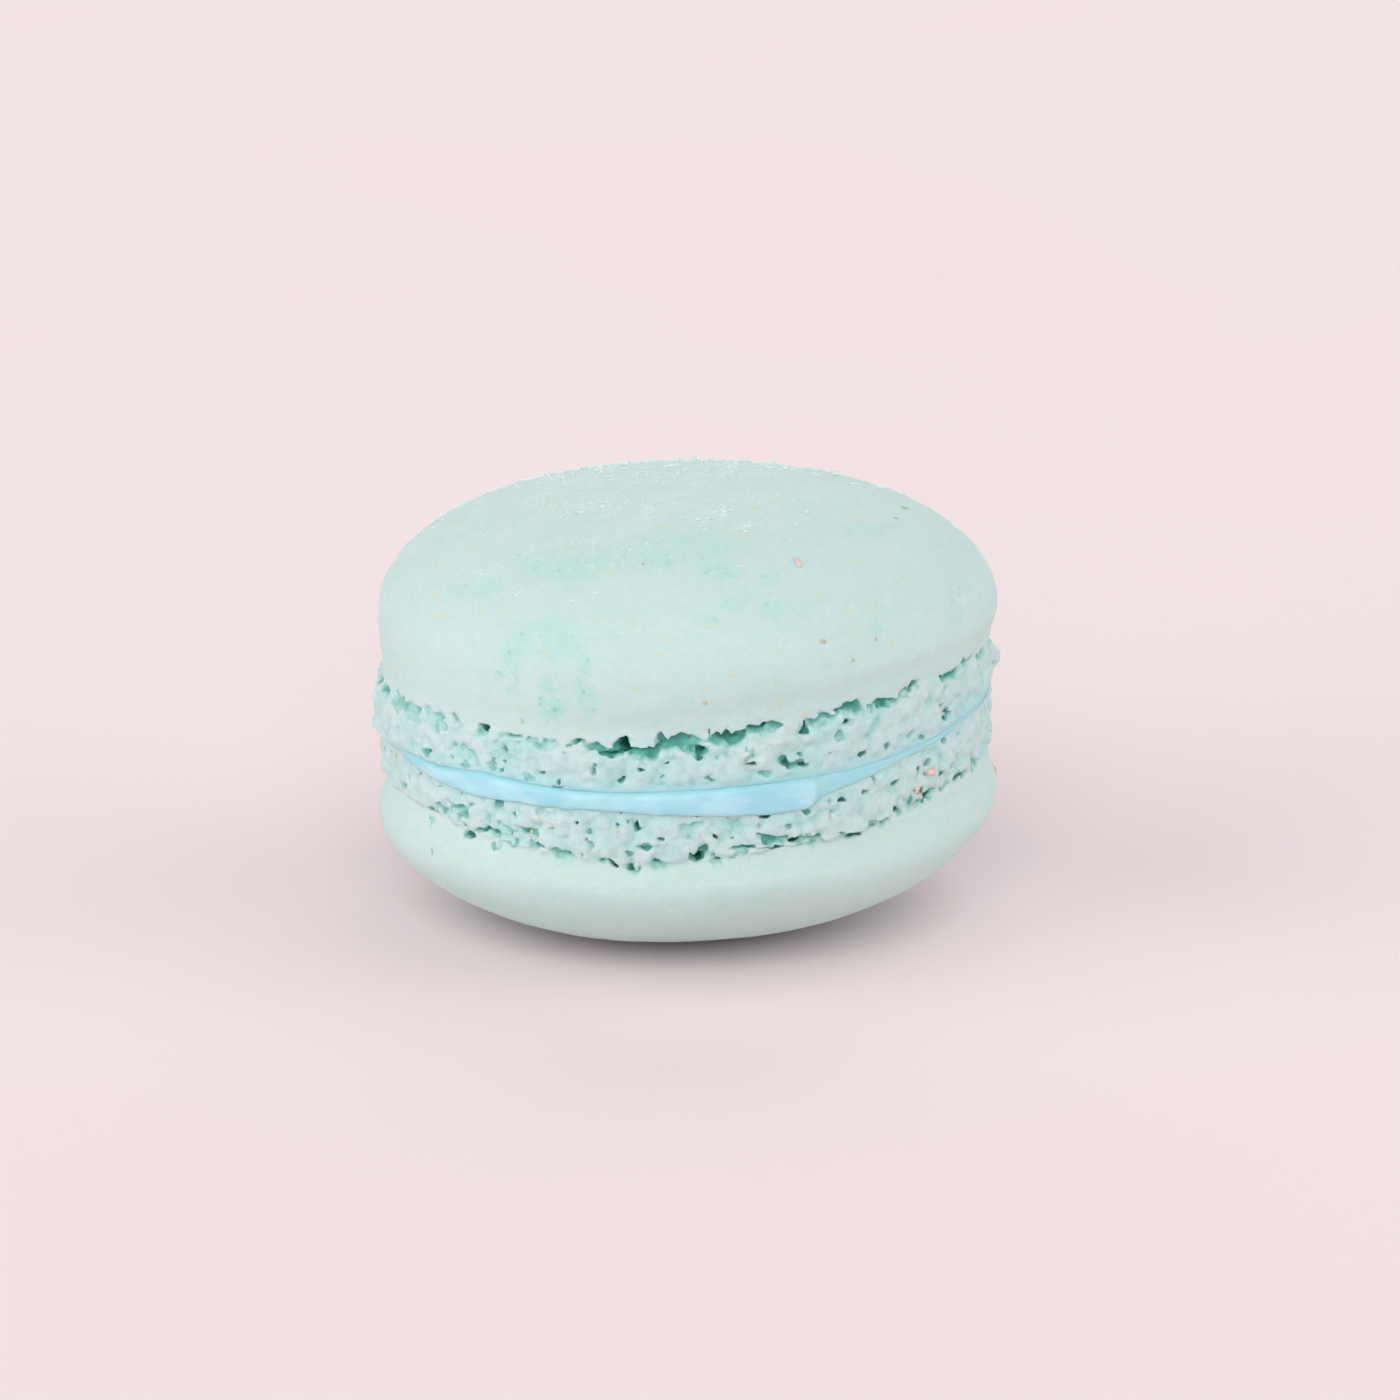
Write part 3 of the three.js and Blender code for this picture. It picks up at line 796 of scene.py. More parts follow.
def surface_net(field):
    """Surface where a field is 0, on a grid that closes on itself along its first axis.

    Returns each crossed cell's point in grid steps, the four-sided faces between them, the number
    of each cell's point, or -1, and which cells are crossed.
    """
    _, rows, layers = field.shape
    corners = {}
    for i in (0, 1):
        turned = np.roll(field, -i, axis=0)
        for j in (0, 1):
            for k in (0, 1):
                corners[i, j, k] = turned[:, j : rows - 1 + j, k : layers - 1 + k]
    inside = sum((value < 0).astype(np.int8) for value in corners.values())
    crossed = (inside > 0) & (inside < 8)
    cells = np.argwhere(crossed)
    number = np.full(crossed.shape, -1, np.int64)
    number[crossed] = np.arange(len(cells))
    points = crossing_means(cells, {key: value[crossed] for key, value in corners.items()})
    faces = []
    solid = field < 0
    before = np.roll(number, 1, axis=0)

    def gather(change, first, second, third, fourth, forwards):
        quad = np.stack([first[change], second[change], third[change], fourth[change]], 1)
        turn = forwards[change]
        quad[~turn] = quad[~turn][:, ::-1]
        faces.append(quad)

    a, b = solid[:, 1:-1, 1:-1], np.roll(solid, -1, axis=0)[:, 1:-1, 1:-1]
    gather(a != b, number[:, :-1, :-1], number[:, 1:, :-1], number[:, 1:, 1:], number[:, :-1, 1:], a)
    a, b = solid[:, :-1, 1:-1], solid[:, 1:, 1:-1]
    gather(a != b, before[:, :, :-1], before[:, :, 1:], number[:, :, 1:], number[:, :, :-1], a)
    a, b = solid[:, 1:-1, :-1], solid[:, 1:-1, 1:]
    gather(a != b, before[:, :-1, :], number[:, :-1, :], number[:, 1:, :], before[:, 1:, :], a)
    return points, np.concatenate(faces), number, crossed


def largest_part(count, faces):
    """Which points belong to the largest connected part of a mesh."""
    label = np.arange(count)
    while True:
        lowest = label[faces].min(1)
        found = label.copy()
        for corner in range(faces.shape[1]):
            np.minimum.at(found, faces[:, corner], lowest)
        found = found[found]
        if (found == label).all():
            break
        label = found
    names, sizes = np.unique(label[faces[:, 0]], return_counts=True)
    return label == names[np.argmax(sizes)]


def hole_places(shell, seen, lip, face, rng):
    """Holes as rows of direction, height, half width, half height, depth and whether it's a trough."""
    holes = []
    for marks, is_trough in zip(seen, (False, True)):
        angle, height = on_cylinder([mark[:2] for mark in marks], EDGE_RADIUS)
        for at, up, (_, _, width, tall, depth) in zip(angle, height, marks):
            facing = max(-math.sin(at), HOLE_FACING)
            depth = depth if is_trough or depth > DEEPEST else depth * PIT_DEPTH
            holes.append((at, up, width * PIXEL / 2 / facing, tall * PIXEL / 2, depth, is_trough))
    foot = np.abs(lip - face)

    def level_at(at, level):
        step = int(at % TURN / TURN * STEPS) % STEPS
        return face[step] + shell["up"] * level * foot[step]

    for _ in range(HIDDEN_HOLES):
        at = rng.uniform(-math.pi, math.pi)
        by_lip = rng.random() < LIP_HOLE_SHARE
        level = rng.normal(*LIP_HOLE_LEVEL) if by_lip else rng.uniform(*FOOT_HOLE_LEVEL)
        sizes = LIP_HOLE_SIZES if by_lip else FOOT_HOLE_SIZES
        wide, tall, deep = (rng.uniform(*limits) for limits in sizes)
        if not SEEN_FROM < at < SEEN_TO:
            holes.append((at, level_at(at, level), wide, tall, deep, by_lip))
    for _ in range(PINHOLES):
        at = rng.uniform(-math.pi, math.pi)
        size = rng.uniform(*PINHOLE_SIZE)
        level = rng.uniform(*PINHOLE_LEVEL)
        wide, deep = size * rng.uniform(*PINHOLE_WIDER), rng.uniform(*PINHOLE_DEPTH)
        holes.append((at, level_at(at, level), wide, size, deep, False))
    return holes


def foot_grid(shell, lip, face):
    """Heights and radii of a grid over the foot, from just inside its flat face to the skin."""
    foot = np.abs(lip - face)
    slope = math.tan(math.radians(shell["crown_lean"]))
    widest = shell["widest"] + slope * FOOT_RADIUS * np.cos(ANGLES)
    room = np.abs(widest - lip)
    skin = np.minimum(SKIN_HEIGHT, SKIN_SHARE * room)
    row = np.arange(FACE_ROWS + FOOT_ROWS + SKIN_ROWS + 1) - (FACE_ROWS - 0.5)
    below = np.minimum(row, 0)[None, :] * ROW
    within = np.clip(row, 0, FOOT_ROWS)[None, :] / FOOT_ROWS * foot[:, None]
    beyond = np.maximum(row - FOOT_ROWS, 0)[None, :] / (SKIN_ROWS + 0.5) * skin[:, None]
    from_face = below + within + beyond
    from_lip = from_face - foot[:, None]
    height = face[:, None] + shell["up"] * from_face
    skin_radius = outline_radius(shell, ANGLES[:, None], np.maximum(from_lip, 0), room[:, None])
    foot_radius = foot_outline(shell, ANGLES)[:, None]
    radius = foot_radius + (skin_radius - foot_radius) * smooth(from_lip, *FLANGE_BLEND)
    return dict(
        foot=foot, room=room, skin=skin, row=row, from_face=from_face, from_lip=from_lip,
        height=height, radius=radius,
    )


def foot_lumps(grid):
    """How far the foot's bigger lumps stand out, in mm."""
    raised = 0
    for x, y, size, high in FOOT_LUMPS:
        angle, height = on_cylinder([(x, y)], LUMP_RADIUS)
        across = turn_between(ANGLES, angle) * EDGE_RADIUS
        upward = grid["height"] - height
        raised = raised + high * np.exp(-((across[:, None] ** 2 + upward**2) / (size * PIXEL) ** 2))
    return raised


def foot_relief(shell, grid):
    """How far the foot stands out of its outline before its rough surface: swell, lumps and ledge."""
    hidden = HIDDEN_LEDGE * np.clip(wobble(HIDDEN_LEDGE_WAVES * ANGLES, shell["seed"]), 0, 1)
    hidden = hidden * (1 - bump(ANGLES, *FRONT))
    ledge = shell["ledge"] * (bump(ANGLES, *LEDGE_AT) + hidden)[:, None]
    ledge = ledge * np.exp(-(((grid["from_lip"] + LEDGE_BELOW_LIP) / LEDGE_TALL) ** 2))
    way_up = np.clip(grid["from_face"] / grid["foot"][:, None], 0, 1)
    return FOOT_SWELL * np.sin(math.pi * way_up) ** SWELL_FULLNESS + foot_lumps(grid) + ledge


def foot_body(shell, grid, place):
    """How far each grid place is outside the foot before any hole is made, and its own surface."""
    seed, from_lip, from_face = shell["seed"], grid["from_lip"], grid["from_face"]
    ragged = layered(place, RAGGED_LIP, seed)
    on_foot = 1 - smooth(from_lip[:, :, None] + ragged, *LIP_BLEND)
    flush = place[:, :, np.argmin(np.abs(LAYERS))].astype(float)
    buds = layered(flush, FOOT_BUDS, seed, buds_of) - BUDS_MIDDLE
    folds = -FOLDS_MIDDLE
    for height, size, most, offset in FOOT_FOLDS:
        folds = folds + height * np.minimum(np.abs(noise(place, size, seed + offset)), most)
    rough = shell["lumps"] * folds + shell["buds"] * buds[:, :, None] + layered(place, FOOT_GRAIN, seed)
    by_face = 1 - CALM_FACE + CALM_FACE * smooth(from_face, *CALM_AT_FACE)
    by_lip = 1 - shell["calm_lip"] * smooth(from_lip, *CALM_AT_LIP)
    rough = rough * (by_face * by_lip)[:, :, None]
    grid["low"] = on_foot * np.clip(LOW_FROM - rough, 0, LOW_MOST)
    roll = LIP_ROLL * np.exp(-np.maximum(from_lip, 0) / LIP_ROLL_REACH)
    shape = foot_relief(shell, grid)[:, :, None] + rough
    surface = on_foot * shape - (1 - on_foot) * roll[:, :, None]
    fades, faded = (FOOT_ROWS + SKIN_ROWS - rows for rows in SKIN_CALMS)
    surface = surface * (1 - smooth(grid["row"], fades, faded))[None, :, None]
    out = LAYERS[None, None, :] - surface + EDGE_ROUND
    down = -from_face[:, :, None] + EDGE_ROUND
    rounded = np.sqrt(np.maximum(out, 0) ** 2 + np.maximum(down, 0) ** 2)
    return rounded + np.minimum(np.maximum(out, down), 0) - EDGE_ROUND, surface, on_foot


def cut_holes(shell, grid, place, surface, body, holes):
    """The body with its holes cut out.

    A pit has steep walls and a dished floor. A trough has a torn edge on top, is deepest right under
    it, and rises to nothing at its lower end.
    """
    seed, height = shell["seed"], grid["height"]
    bend_u = layered(place, BEND_ACROSS, seed)
    bend_v = layered(place, BEND_UP, seed)
    torn = layered(place, TORN_EDGE, seed)
    field = body.copy()
    for at, up_at, wide, tall, deep, is_trough in holes:
        half = int((wide + HOLE_MARGIN[0]) / EDGE_RADIUS / TURN * STEPS) + 2
        steps = (int(round(at % TURN / TURN * STEPS)) + np.arange(-half, half + 1)) % STEPS
        rows = np.flatnonzero(np.abs(height[steps[half]] - up_at) < 2 * tall + HOLE_MARGIN[1])
        if not len(rows):
            continue
        rows = slice(max(rows[0], 1), rows[-1] + 1)
        share = min(1, BEND_LEAST + min(wide, tall) / BEND_FULL_AT)
        u = turn_between(ANGLES[steps], at)[:, None, None] * EDGE_RADIUS + share * bend_u[steps, rows]
        v = (height[steps, rows] - up_at)[:, :, None] + share * bend_v[steps, rows]
        w = LAYERS[None, None, :] - surface[steps, rows]
        if is_trough:
            v = v + torn[steps, rows]
            narrow = np.sqrt(np.clip(1 - np.abs(u / wide) ** 2, 0, 1))
            floor = deep * narrow * (1 - smooth((tall - v) / (2 * tall), *FLOOR_RISES)) - FLOOR_LIFT
            inside = np.minimum(w + floor, tall - v + TROUGH_UNDERCUT * np.maximum(-w, 0))
        else:
            wide, tall = wide + HOLE_GROWTH, tall + HOLE_GROWTH
            size = (np.abs(u / wide) ** HOLE_POWER + np.abs(v / tall) ** HOLE_POWER) ** (1 / HOLE_POWER)
            wall = (1 - size) * min(wide, tall)
            inside = np.minimum(wall, deep * (1 - FLOOR_DISH * size**2) + w)
        field[steps, rows] = np.maximum(field[steps, rows], inside)
    return field


def foot_field(shell, seen, lip, face):
    """The field whose surface is the foot and the start of the skin, with what it was made from."""
    rng = np.random.default_rng(shell["seed"])
    grid = foot_grid(shell, lip, face)
    reach = grid["radius"][:, :, None] + LAYERS[None, None, :]
    turned = ANGLES[:, None, None]
    upright = np.broadcast_to(grid["height"][:, :, None], reach.shape)
    place = np.stack([reach * np.cos(turned), reach * np.sin(turned), upright], -1).astype(np.float32)
    body, surface, on_foot = foot_body(shell, grid, place)
    holes = hole_places(shell, seen, lip, face, rng)
    field = cut_holes(shell, grid, place, surface, body, holes)
    grid["on_foot"] = on_foot
    return field, body, grid


def bilinear(table, i, j):
    """Values of a table that closes on itself along its first axis, between its entries."""
    i0, j0 = np.floor(i).astype(int), np.minimum(np.floor(j).astype(int), table.shape[1] - 2)
    fi, fj = i - i0, j - j0
    i1 = (i0 + 1) % STEPS
    i0 = i0 % STEPS
    low = table[i0, j0] * (1 - fj) + table[i0, j0 + 1] * fj
    high = table[i1, j0] * (1 - fj) + table[i1, j0 + 1] * fj
    return low * (1 - fi) + high * fi


def cell_means(values, cells):
    """The mean of a grid's values at the eight corners of each cell."""
    i, j, k = cells
    return sum(values[(i + di) % STEPS, j + dj, k + dk] for di, dj, dk in np.ndindex(2, 2, 2)) / 8


# ---------------------------------------------------------------- crowns and shells


def crown_turns(shell):
    """Turns along the crown's quarter section, evenly spaced, with wider spacing near the pole."""
    turn = np.linspace(0, math.pi / 2, PROFILE_STEPS)
    radius = shell["radius"] * np.cos(turn) ** (2 / shell["crown_bend"])
    height = shell["crown_height"] * np.sin(turn) ** (2 / shell["shoulder_bend"])
    length = np.concatenate([[0], np.cumsum(np.hypot(np.diff(radius), np.diff(height)))])
    least, most = CROWN_SPACING
    at, stops = least, []
    while at < length[-1] - POLE_GAP:
        stops.append(at)
        at += least + (most - least) * smooth(at / length[-1], *SPACING_GROWS)
    return np.interp(stops, length, turn)


def crown_rings(shell, lip, skin, room):
    """Radii, heights and distances from the lip of the rings from the skin's start to the pole."""
    up, lean = shell["up"], math.tan(math.radians(shell["crown_lean"]))
    wall = max(int(round((room - skin).max() / WALL_SPACING)), 2)
    rings = []
    for level in range(1, wall + 1):
        above = skin + (room - skin) * level / wall
        rings.append((outline_radius(shell, MIDWAY, above, room), lip + up * above, above))
    uneven = OUTLINE_WOBBLE * wobble(MIDWAY, shell["seed"])
    for turn in crown_turns(shell):
        rim = math.cos(turn) ** (2 / shell["crown_bend"])
        rise = shell["crown_height"] * math.sin(turn) ** (2 / shell["shoulder_bend"])
        radius = (shell["radius"] + uneven) * rim - crease_depth(shell, MIDWAY, room + rise)
        height = shell["widest"] + up * rise + radius * np.cos(MIDWAY) * lean
        rings.append((radius, height, room + rise))
    return rings


def build_crown(shell, mesh, ring, lip, skin, room):
    """Rings from the start of the skin over the widest line to the pole."""
    lip, skin, room = ((values + np.roll(values, -1)) / 2 for values in (lip, skin, room))
    stride = 1
    for radius, height, above in crown_rings(shell, lip, skin, room):
        if radius.mean() * TURN * stride / STEPS < CLOSEST_SPOKES and stride < WIDEST_STRIDE:
            stride *= 2
        points = round_axis(radius, MIDWAY, height)
        lift = smooth(above - skin, 0, SKIN_LIFT_GROWS) * layered(points, SKIN_LIFT, shell["seed"])
        slope = np.clip((above - room) / shell["crown_height"], 0, 1)
        points[:, 0] += shell["drift"] * slope
        outward = unit(round_axis(1 - slope, MIDWAY, shell["up"] * (LIFT_UPWARD + slope)))
        points += lift[:, None] * outward
        points[:, 2] = np.maximum(points[:, 2], 0)
        following = mesh.add(points[::stride])
        mesh.join(ring, following)
        ring = following
    pole = shell["widest"] + shell["up"] * shell["crown_height"]
    mesh.close(ring, [shell["drift"], 0, max(pole, 0)])


def patch_values(points, patches):
    """How much each point of the skin lies in one of the patches that show in the picture, 0 to 1."""
    rays = points - EYE
    depth = rays @ FORWARD
    across = PICTURE / 2 + (rays @ RIGHTWARD) / depth * LENS / SENSOR * PICTURE
    down = PICTURE / 2 - (rays @ UPWARD) / depth * LENS / SENSOR * PICTURE
    facing = smooth(-points[:, 1] + PATCH_LEAN * (points[:, 2] - UPPER["widest"]), 0, PATCH_DEPTH)
    values = np.zeros(len(points))
    for x, y, wide, tall, share in patches:
        size = np.hypot((across - x) / wide, (down - y) / tall)
        values = np.maximum(values, share * (1 - smooth(size, *PATCH_EDGE)))
    return values * facing


def build_shell(shell, seen, lip_edge, face, material):
    """One shell as a closed mesh: its foot with holes, its crown, and its flat face inside."""
    lip = round_edge(leaned_line(shell["lip"], shell["lip_lean"], shell["lip_waves"]), lip_edge)
    field, body, grid = foot_field(shell, seen, lip, face)
    points, faces, number, crossed = surface_net(field)
    kept = largest_part(len(points), faces)
    renumber = np.cumsum(kept) - 1
    across, row, layer = points[kept].T
    radius = bilinear(grid["radius"], across, row) + np.interp(layer, np.arange(len(LAYERS)), LAYERS)
    mesh = Growing()
    mesh.add(round_axis(radius, across * TURN / STEPS, bilinear(grid["height"], across, row)))
    mesh.add_faces(renumber[faces[kept[faces].all(1)]])

    rim_row = crossed.shape[1] - 1
    assert (crossed[:, rim_row, :].sum(1) == 1).all(), "the skin's rim is one cell deep"
    inner_cells = number[:, FACE_ROWS - 1, 0]
    outer_cells = number[np.arange(STEPS), rim_row, np.argmax(crossed[:, rim_row, :], axis=1)]
    assert kept[inner_cells].all() and kept[outer_cells].all()
    build_crown(shell, mesh, renumber[outer_cells], lip, grid["skin"], grid["room"])
    mesh.close_face(renumber[inner_cells], MIDWAY, shell["up"])

    cells = np.argwhere(crossed)[kept].T
    everything = mesh.all_points()
    piece = make_piece(shell["name"] + "_look", everything, mesh.faces, material)
    stain = shell["stain"] * (1 - STAIN_GAP * bump(ANGLES, *STAIN_GAP_AT))[:, None]
    stain = stain * np.exp(-np.maximum(grid["from_face"], 0) / STAIN_REACH)
    # hollow: how deep the creases and holes lie, which the material turns into painted shade.
    keep_values(piece, "hollow", cell_means(grid["low"] * LOW_SHARE - body, cells))
    keep_values(piece, "foot", cell_means(grid["on_foot"], cells))
    keep_values(piece, "stain", stain[cells[0], cells[1]])
    keep_values(piece, "scuff", patch_values(everything, SCUFFS))
    powder = np.maximum(patch_values(everything, POWDERED), FAINT_POWDER * sugar_density(everything))
    keep_values(piece, "powder", powder)
    keep_values(piece, "meal", patch_values(everything, MEAL_SPOTS))
    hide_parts(shell["name"])
    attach(piece, "root")
    return piece


# ---------------------------------------------------------------- filling


def filling_ring(side, middle, half, nicks):
    """One ring of the filling's side at a share of its height, -1 to 1, and where the bead is on it."""
    lower_edge, upper_edge = foot_outline(LOWER, ANGLES), foot_outline(UPPER, ANGLES)
    bead_angle, _ = on_cylinder(BEAD_ENDS, EDGE_RADIUS)
    start = turn_between(ANGLES, bead_angle[0]) * EDGE_RADIUS
    stop = turn_between(bead_angle[1], ANGLES) * EDGE_RADIUS
    corner = BEAD_CORNER * (1 - math.sqrt(1 - side * side))
    on_bead = smooth(start, 0, BEAD_STARTS) * smooth(stop - corner, 0, BEAD_STOPS)
    proud = FILLING_PROUD + BEAD_PROUD * on_bead
    flush = lower_edge + (upper_edge - lower_edge) * (1 + side) / 2
    fullness = FILLING_FULLNESS[side > 0]
    radius = flush + proud - bumps(ANGLES, FILLING_RECESSES)
    radius = radius - (FILLING_ROUND + proud) * (1 - math.sqrt(1 - abs(side) ** fullness))
    height = middle + half * side
    points = round_axis(radius, ANGLES, height)
    for high, size, seed, stretch in CREAM_UNEVEN:
        radius = radius + high * noise(points * stretch, size, seed)
    for at, up, wide, tall in nicks:
        across = (ANGLES - at) * EDGE_RADIUS / (wide * PIXEL / 2)
        upward = (height - up) / (tall * PIXEL / 2)
        radius = radius - NICK_DEPTH * np.exp(-(across**2) - upward**2)
    return round_axis(radius, ANGLES, height), on_bead


def build_filling(material):
    """The cream between the shells: a soft side with a thick bead at the front, and two flat faces."""
    top, bottom = filling_edges()
    rim = round_axis(EDGE_RADIUS, ANGLES, 0 * ANGLES)
    top = top + FILLING_TUCK + layered(rim, CREAM_TOP)
    bottom = bottom - FILLING_TUCK + layered(rim, CREAM_BOTTOM)
    middle, half = (top + bottom) / 2, (top - bottom) / 2
    nick_angle, nick_height = on_cylinder([nick[:2] for nick in FILLING_NICKS], EDGE_RADIUS)
    nicks = [(at, up, *nick[2:]) for at, up, nick in zip(nick_angle, nick_height, FILLING_NICKS)]
    mesh = Growing()
    levels = np.linspace(-1, 1, FILLING_LEVELS)
    sides = [filling_ring(math.sin(level * math.pi / 2), middle, half, nicks) for level in levels]
    rings = [mesh.add(ring) for ring, _ in sides]
    for lower, upper in zip(rings, rings[1:]):
        mesh.join(lower, upper)
    mesh.close_face(rings[0], ANGLES, -1)
    mesh.close_face(rings[-1], ANGLES, 1)

    piece = make_piece("filling_look", mesh.all_points(), mesh.faces, material)
    # Painted shade of the cream: along its rims and where it is thin and set back off the bead.
    levels = np.repeat(levels, STEPS)
    below = RIM_BELOW_SHARE * smooth(-levels, *RIM_BELOW)
    painted_cream_shade = np.where(levels > 0, smooth(levels, *RIM_ABOVE), below)
    off_bead = 1 - np.concatenate([on_bead for _, on_bead in sides])
    keep_values(piece, "painted_cream_shade", np.maximum(painted_cream_shade, THIN_SHADE * off_bead))
    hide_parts("filling")
    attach(piece, "root")
    return piece


# ---------------------------------------------------------------- sugar, crumbs and flecks


def cast(piece, pixels):
    """Where the pixels meet a piece, with the surface's directions there; misses are left out."""
    places, normals = [], []
    for ray in pixel_ray(pixels):
        hit, place, normal, _ = piece.ray_cast(Vector(EYE * METRES), Vector(ray))
        if hit:
            places.append(np.array(place) / METRES)
            normals.append(np.array(normal))
    return np.array(places).reshape(-1, 3), np.array(normals).reshape(-1, 3)


def nearest_rim(hosts, pixel):
    """The place of a host's outline that is nearest to a pixel just beside it."""
    inward = np.array(OUTLINE_MIDDLE) - pixel
    inward = inward / np.linalg.norm(inward)
    for step in np.arange(0, OUTLINE_SEARCH, 0.5):
        for host in hosts:
            places, normals = cast(host, [pixel + step * inward])
            if len(places):
                return places[0], normals[0]
    raise ValueError("no host near that pixel")


def upright_frames(normals, rng):
    """Two directions along the surface, at random turns, and its normal, for each normal."""
    side = unit(np.cross(normals, rng.normal(size=normals.shape)))
    return np.stack([side, np.cross(normals, side), normals], 1)


def surface_samples(piece, count, keep, rng):
    """Random places on a piece, evenly spread, that a rule on places keeps."""
    mesh = piece.data
    mesh.calc_loop_triangles()
    corners = np.zeros(len(mesh.loop_triangles) * 3, int)
    mesh.loop_triangles.foreach_get("vertices", corners)
    points = np.zeros(len(mesh.vertices) * 3)
    mesh.vertices.foreach_get("co", points)
    a, b, c = (points.reshape(-1, 3)[corners.reshape(-1, 3)[:, corner]] / METRES for corner in range(3))
    cross = np.cross(b - a, c - a)
    area = np.linalg.norm(cross, axis=1)
    picked = rng.choice(len(area), count, p=area / area.sum())
    s, t = rng.random((2, count, 1))
    s, t = np.where(s + t > 1, 1 - s, s), np.where(s + t > 1, 1 - t, t)
    places = a[picked] + s * (b - a)[picked] + t * (c - a)[picked]
    normals = cross[picked] / area[picked][:, None]
    kept = rng.random(count) < keep(places)
    return places[kept], normals[kept]


def sugar_density(places):
    """How likely a grain stays: most at the top, its back and its left, least at the front right."""
    x, y, z = places.T
    near = 1 - smooth(np.hypot(x - SUGAR_MIDDLE[0], y - SUGAR_MIDDLE[1]), *SUGAR_THINS)
    patches = smooth(layered(places, SUGAR_PATCHES), *PATCHES_SHOW)
    thick = LEAST_SUGAR + (1 - LEAST_SUGAR) * near
    return smooth(z, *SUGAR_HIGH) * thick * (BARE_SUGAR + (1 - BARE_SUGAR) * patches)


def behind_density(places):
    """How likely a heap of sugar lies where the back of the top hides it."""
    return smooth(places[:, 2], *BEHIND_HIGH) * smooth(places[:, 1], *BEHIND_FAR)


def grain_sizes(scale, spread, count, rng):
    """Sizes of grains, most of them near the middle size."""
    return SUGAR_SIZE * scale * np.exp(rng.normal(0, spread, count))


def sugar_heaps(upper, rng):
    """Middles, normals, widths and heights of the heaps on the outline and behind it."""
    heaps = []
    for x, y, wide, tall in SUGAR_HEAPS:
        middle, _ = nearest_rim((upper,), (x, y))
        aside = middle + rng.uniform(-HEAP_SHIFT, HEAP_SHIFT) * FORWARD
        _, middle, facing, _ = upper.closest_point_on_mesh(Vector(aside * METRES))
        heaps.append((np.array(middle) / METRES, np.array(facing), wide, tall))
    for middle, facing in zip(*surface_samples(upper, HEAPS_BEHIND, behind_density, rng)):
        heaps.append((middle, facing, rng.uniform(*BEHIND_WIDE), rng.uniform(*BEHIND_TALL)))
    return heaps


def heap_grains(middle, facing, wide, tall, rng):
    """Places, normals, sizes and brightness of one heap's grains, highest in its middle."""
    count = int(wide * tall * HEAP_GRAINS)
    frame_here = upright_frames(facing[None], rng)[0]
    spread = rng.normal(0, HEAP_SPREAD, (count, 3)) * PIXEL * np.array([wide, wide, 0])
    near = 1 - smooth(np.linalg.norm(spread, axis=1), 0, wide * PIXEL)
    lifted = rng.random(count) * near * tall * PIXEL
    falls_away = (spread**2).sum(1) / (2 * CROWN_CURVE)
    places = middle + spread @ frame_here + lifted[:, None] * facing - falls_away[:, None] * facing
    normals = np.repeat(facing[None], count, axis=0)
    return places, normals, grain_sizes(HEAP_GRAIN, HEAP_SIZES, count, rng), rng.random(count)


def sugar_places(upper, rng):
    """Places, normals, sizes and brightness of all grains: strewn, in clusters and in heaps."""
    found = surface_samples(upper, SUGAR_OVER_TOP * SUGAR_TRIED, sugar_density, rng)
    places, normals = (part[:SUGAR_OVER_TOP] for part in found)
    sizes = grain_sizes(1, STREWN_SIZES, len(places), rng)
    groups = [(places, normals, sizes, STREWN_BRIGHT * rng.random(len(places)))]
    for x, y, spread, count in SUGAR_CLUSTERS:
        pixels = np.array([x, y]) + rng.normal(0, spread / CLUSTER_CORE, (count, 2)) * CLUSTER_SPREAD
        places, normals = cast(upper, pixels)
        sizes = grain_sizes(CLUSTER_GRAIN, CLUSTER_SIZES, len(places), rng)
        groups.append((places, normals, sizes, rng.random(len(places))))
    for heap in sugar_heaps(upper, rng):
        groups.append(heap_grains(*heap, rng))
    return [np.concatenate(parts) for parts in zip(*groups)]


def grains(places, normals, sizes, rng):
    """Small angular crystals, most of them lying flat, partly sunk in a surface."""
    count = len(places)
    shapes = CUBE[None] * rng.uniform(*GRAIN_SIDES, (count, 1, 3))
    shapes = shapes + rng.uniform(-GRAIN_STRAY, GRAIN_STRAY, (count, len(CUBE), 3))
    shapes = shapes * [1, 1, GRAIN_FLATNESS]
    tilted = unit(normals + rng.normal(0, GRAIN_TILT, normals.shape))
    shapes = np.einsum("nvi,nij->nvj", shapes * sizes[:, None, None] * 2, upright_frames(tilted, rng))
    points = shapes + (places + normals * (sizes * rng.uniform(*GRAIN_SUNK, count))[:, None])[:, None]
    faces = np.array(CUBE_FACES)[None] + len(CUBE) * np.arange(count)[:, None, None]
    return points.reshape(-1, 3), faces.reshape(-1, 4).tolist()


def build_sugar(upper, material):
    """All the sugar on the upper crown, as one piece of separate grains."""
    rng = np.random.default_rng(SUGAR_SEED)
    places, normals, sizes, bright = sugar_places(upper, rng)
    points, faces = grains(places, normals, sizes, rng)
    piece = make_piece("sugar_grains", points, faces, material, smooth_faces=False)
    clear = (rng.random(len(places)) < CLEAR_SHARE).astype(float)
    keep_values(piece, "clear", np.repeat(clear, len(CUBE)))
    keep_values(piece, "bright", np.repeat(bright, len(CUBE)))
    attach(piece, "root")
    return piece


def ball():
    """A small round mesh that crumbs are shaped from."""
    shaped = bmesh.new()
    bmesh.ops.create_icosphere(shaped, subdivisions=2, radius=1)
    points = np.array([point.co[:] for point in shaped.verts])
    faces = [[point.index for point in face.verts] for face in shaped.faces]
    shaped.free()
    return points, faces


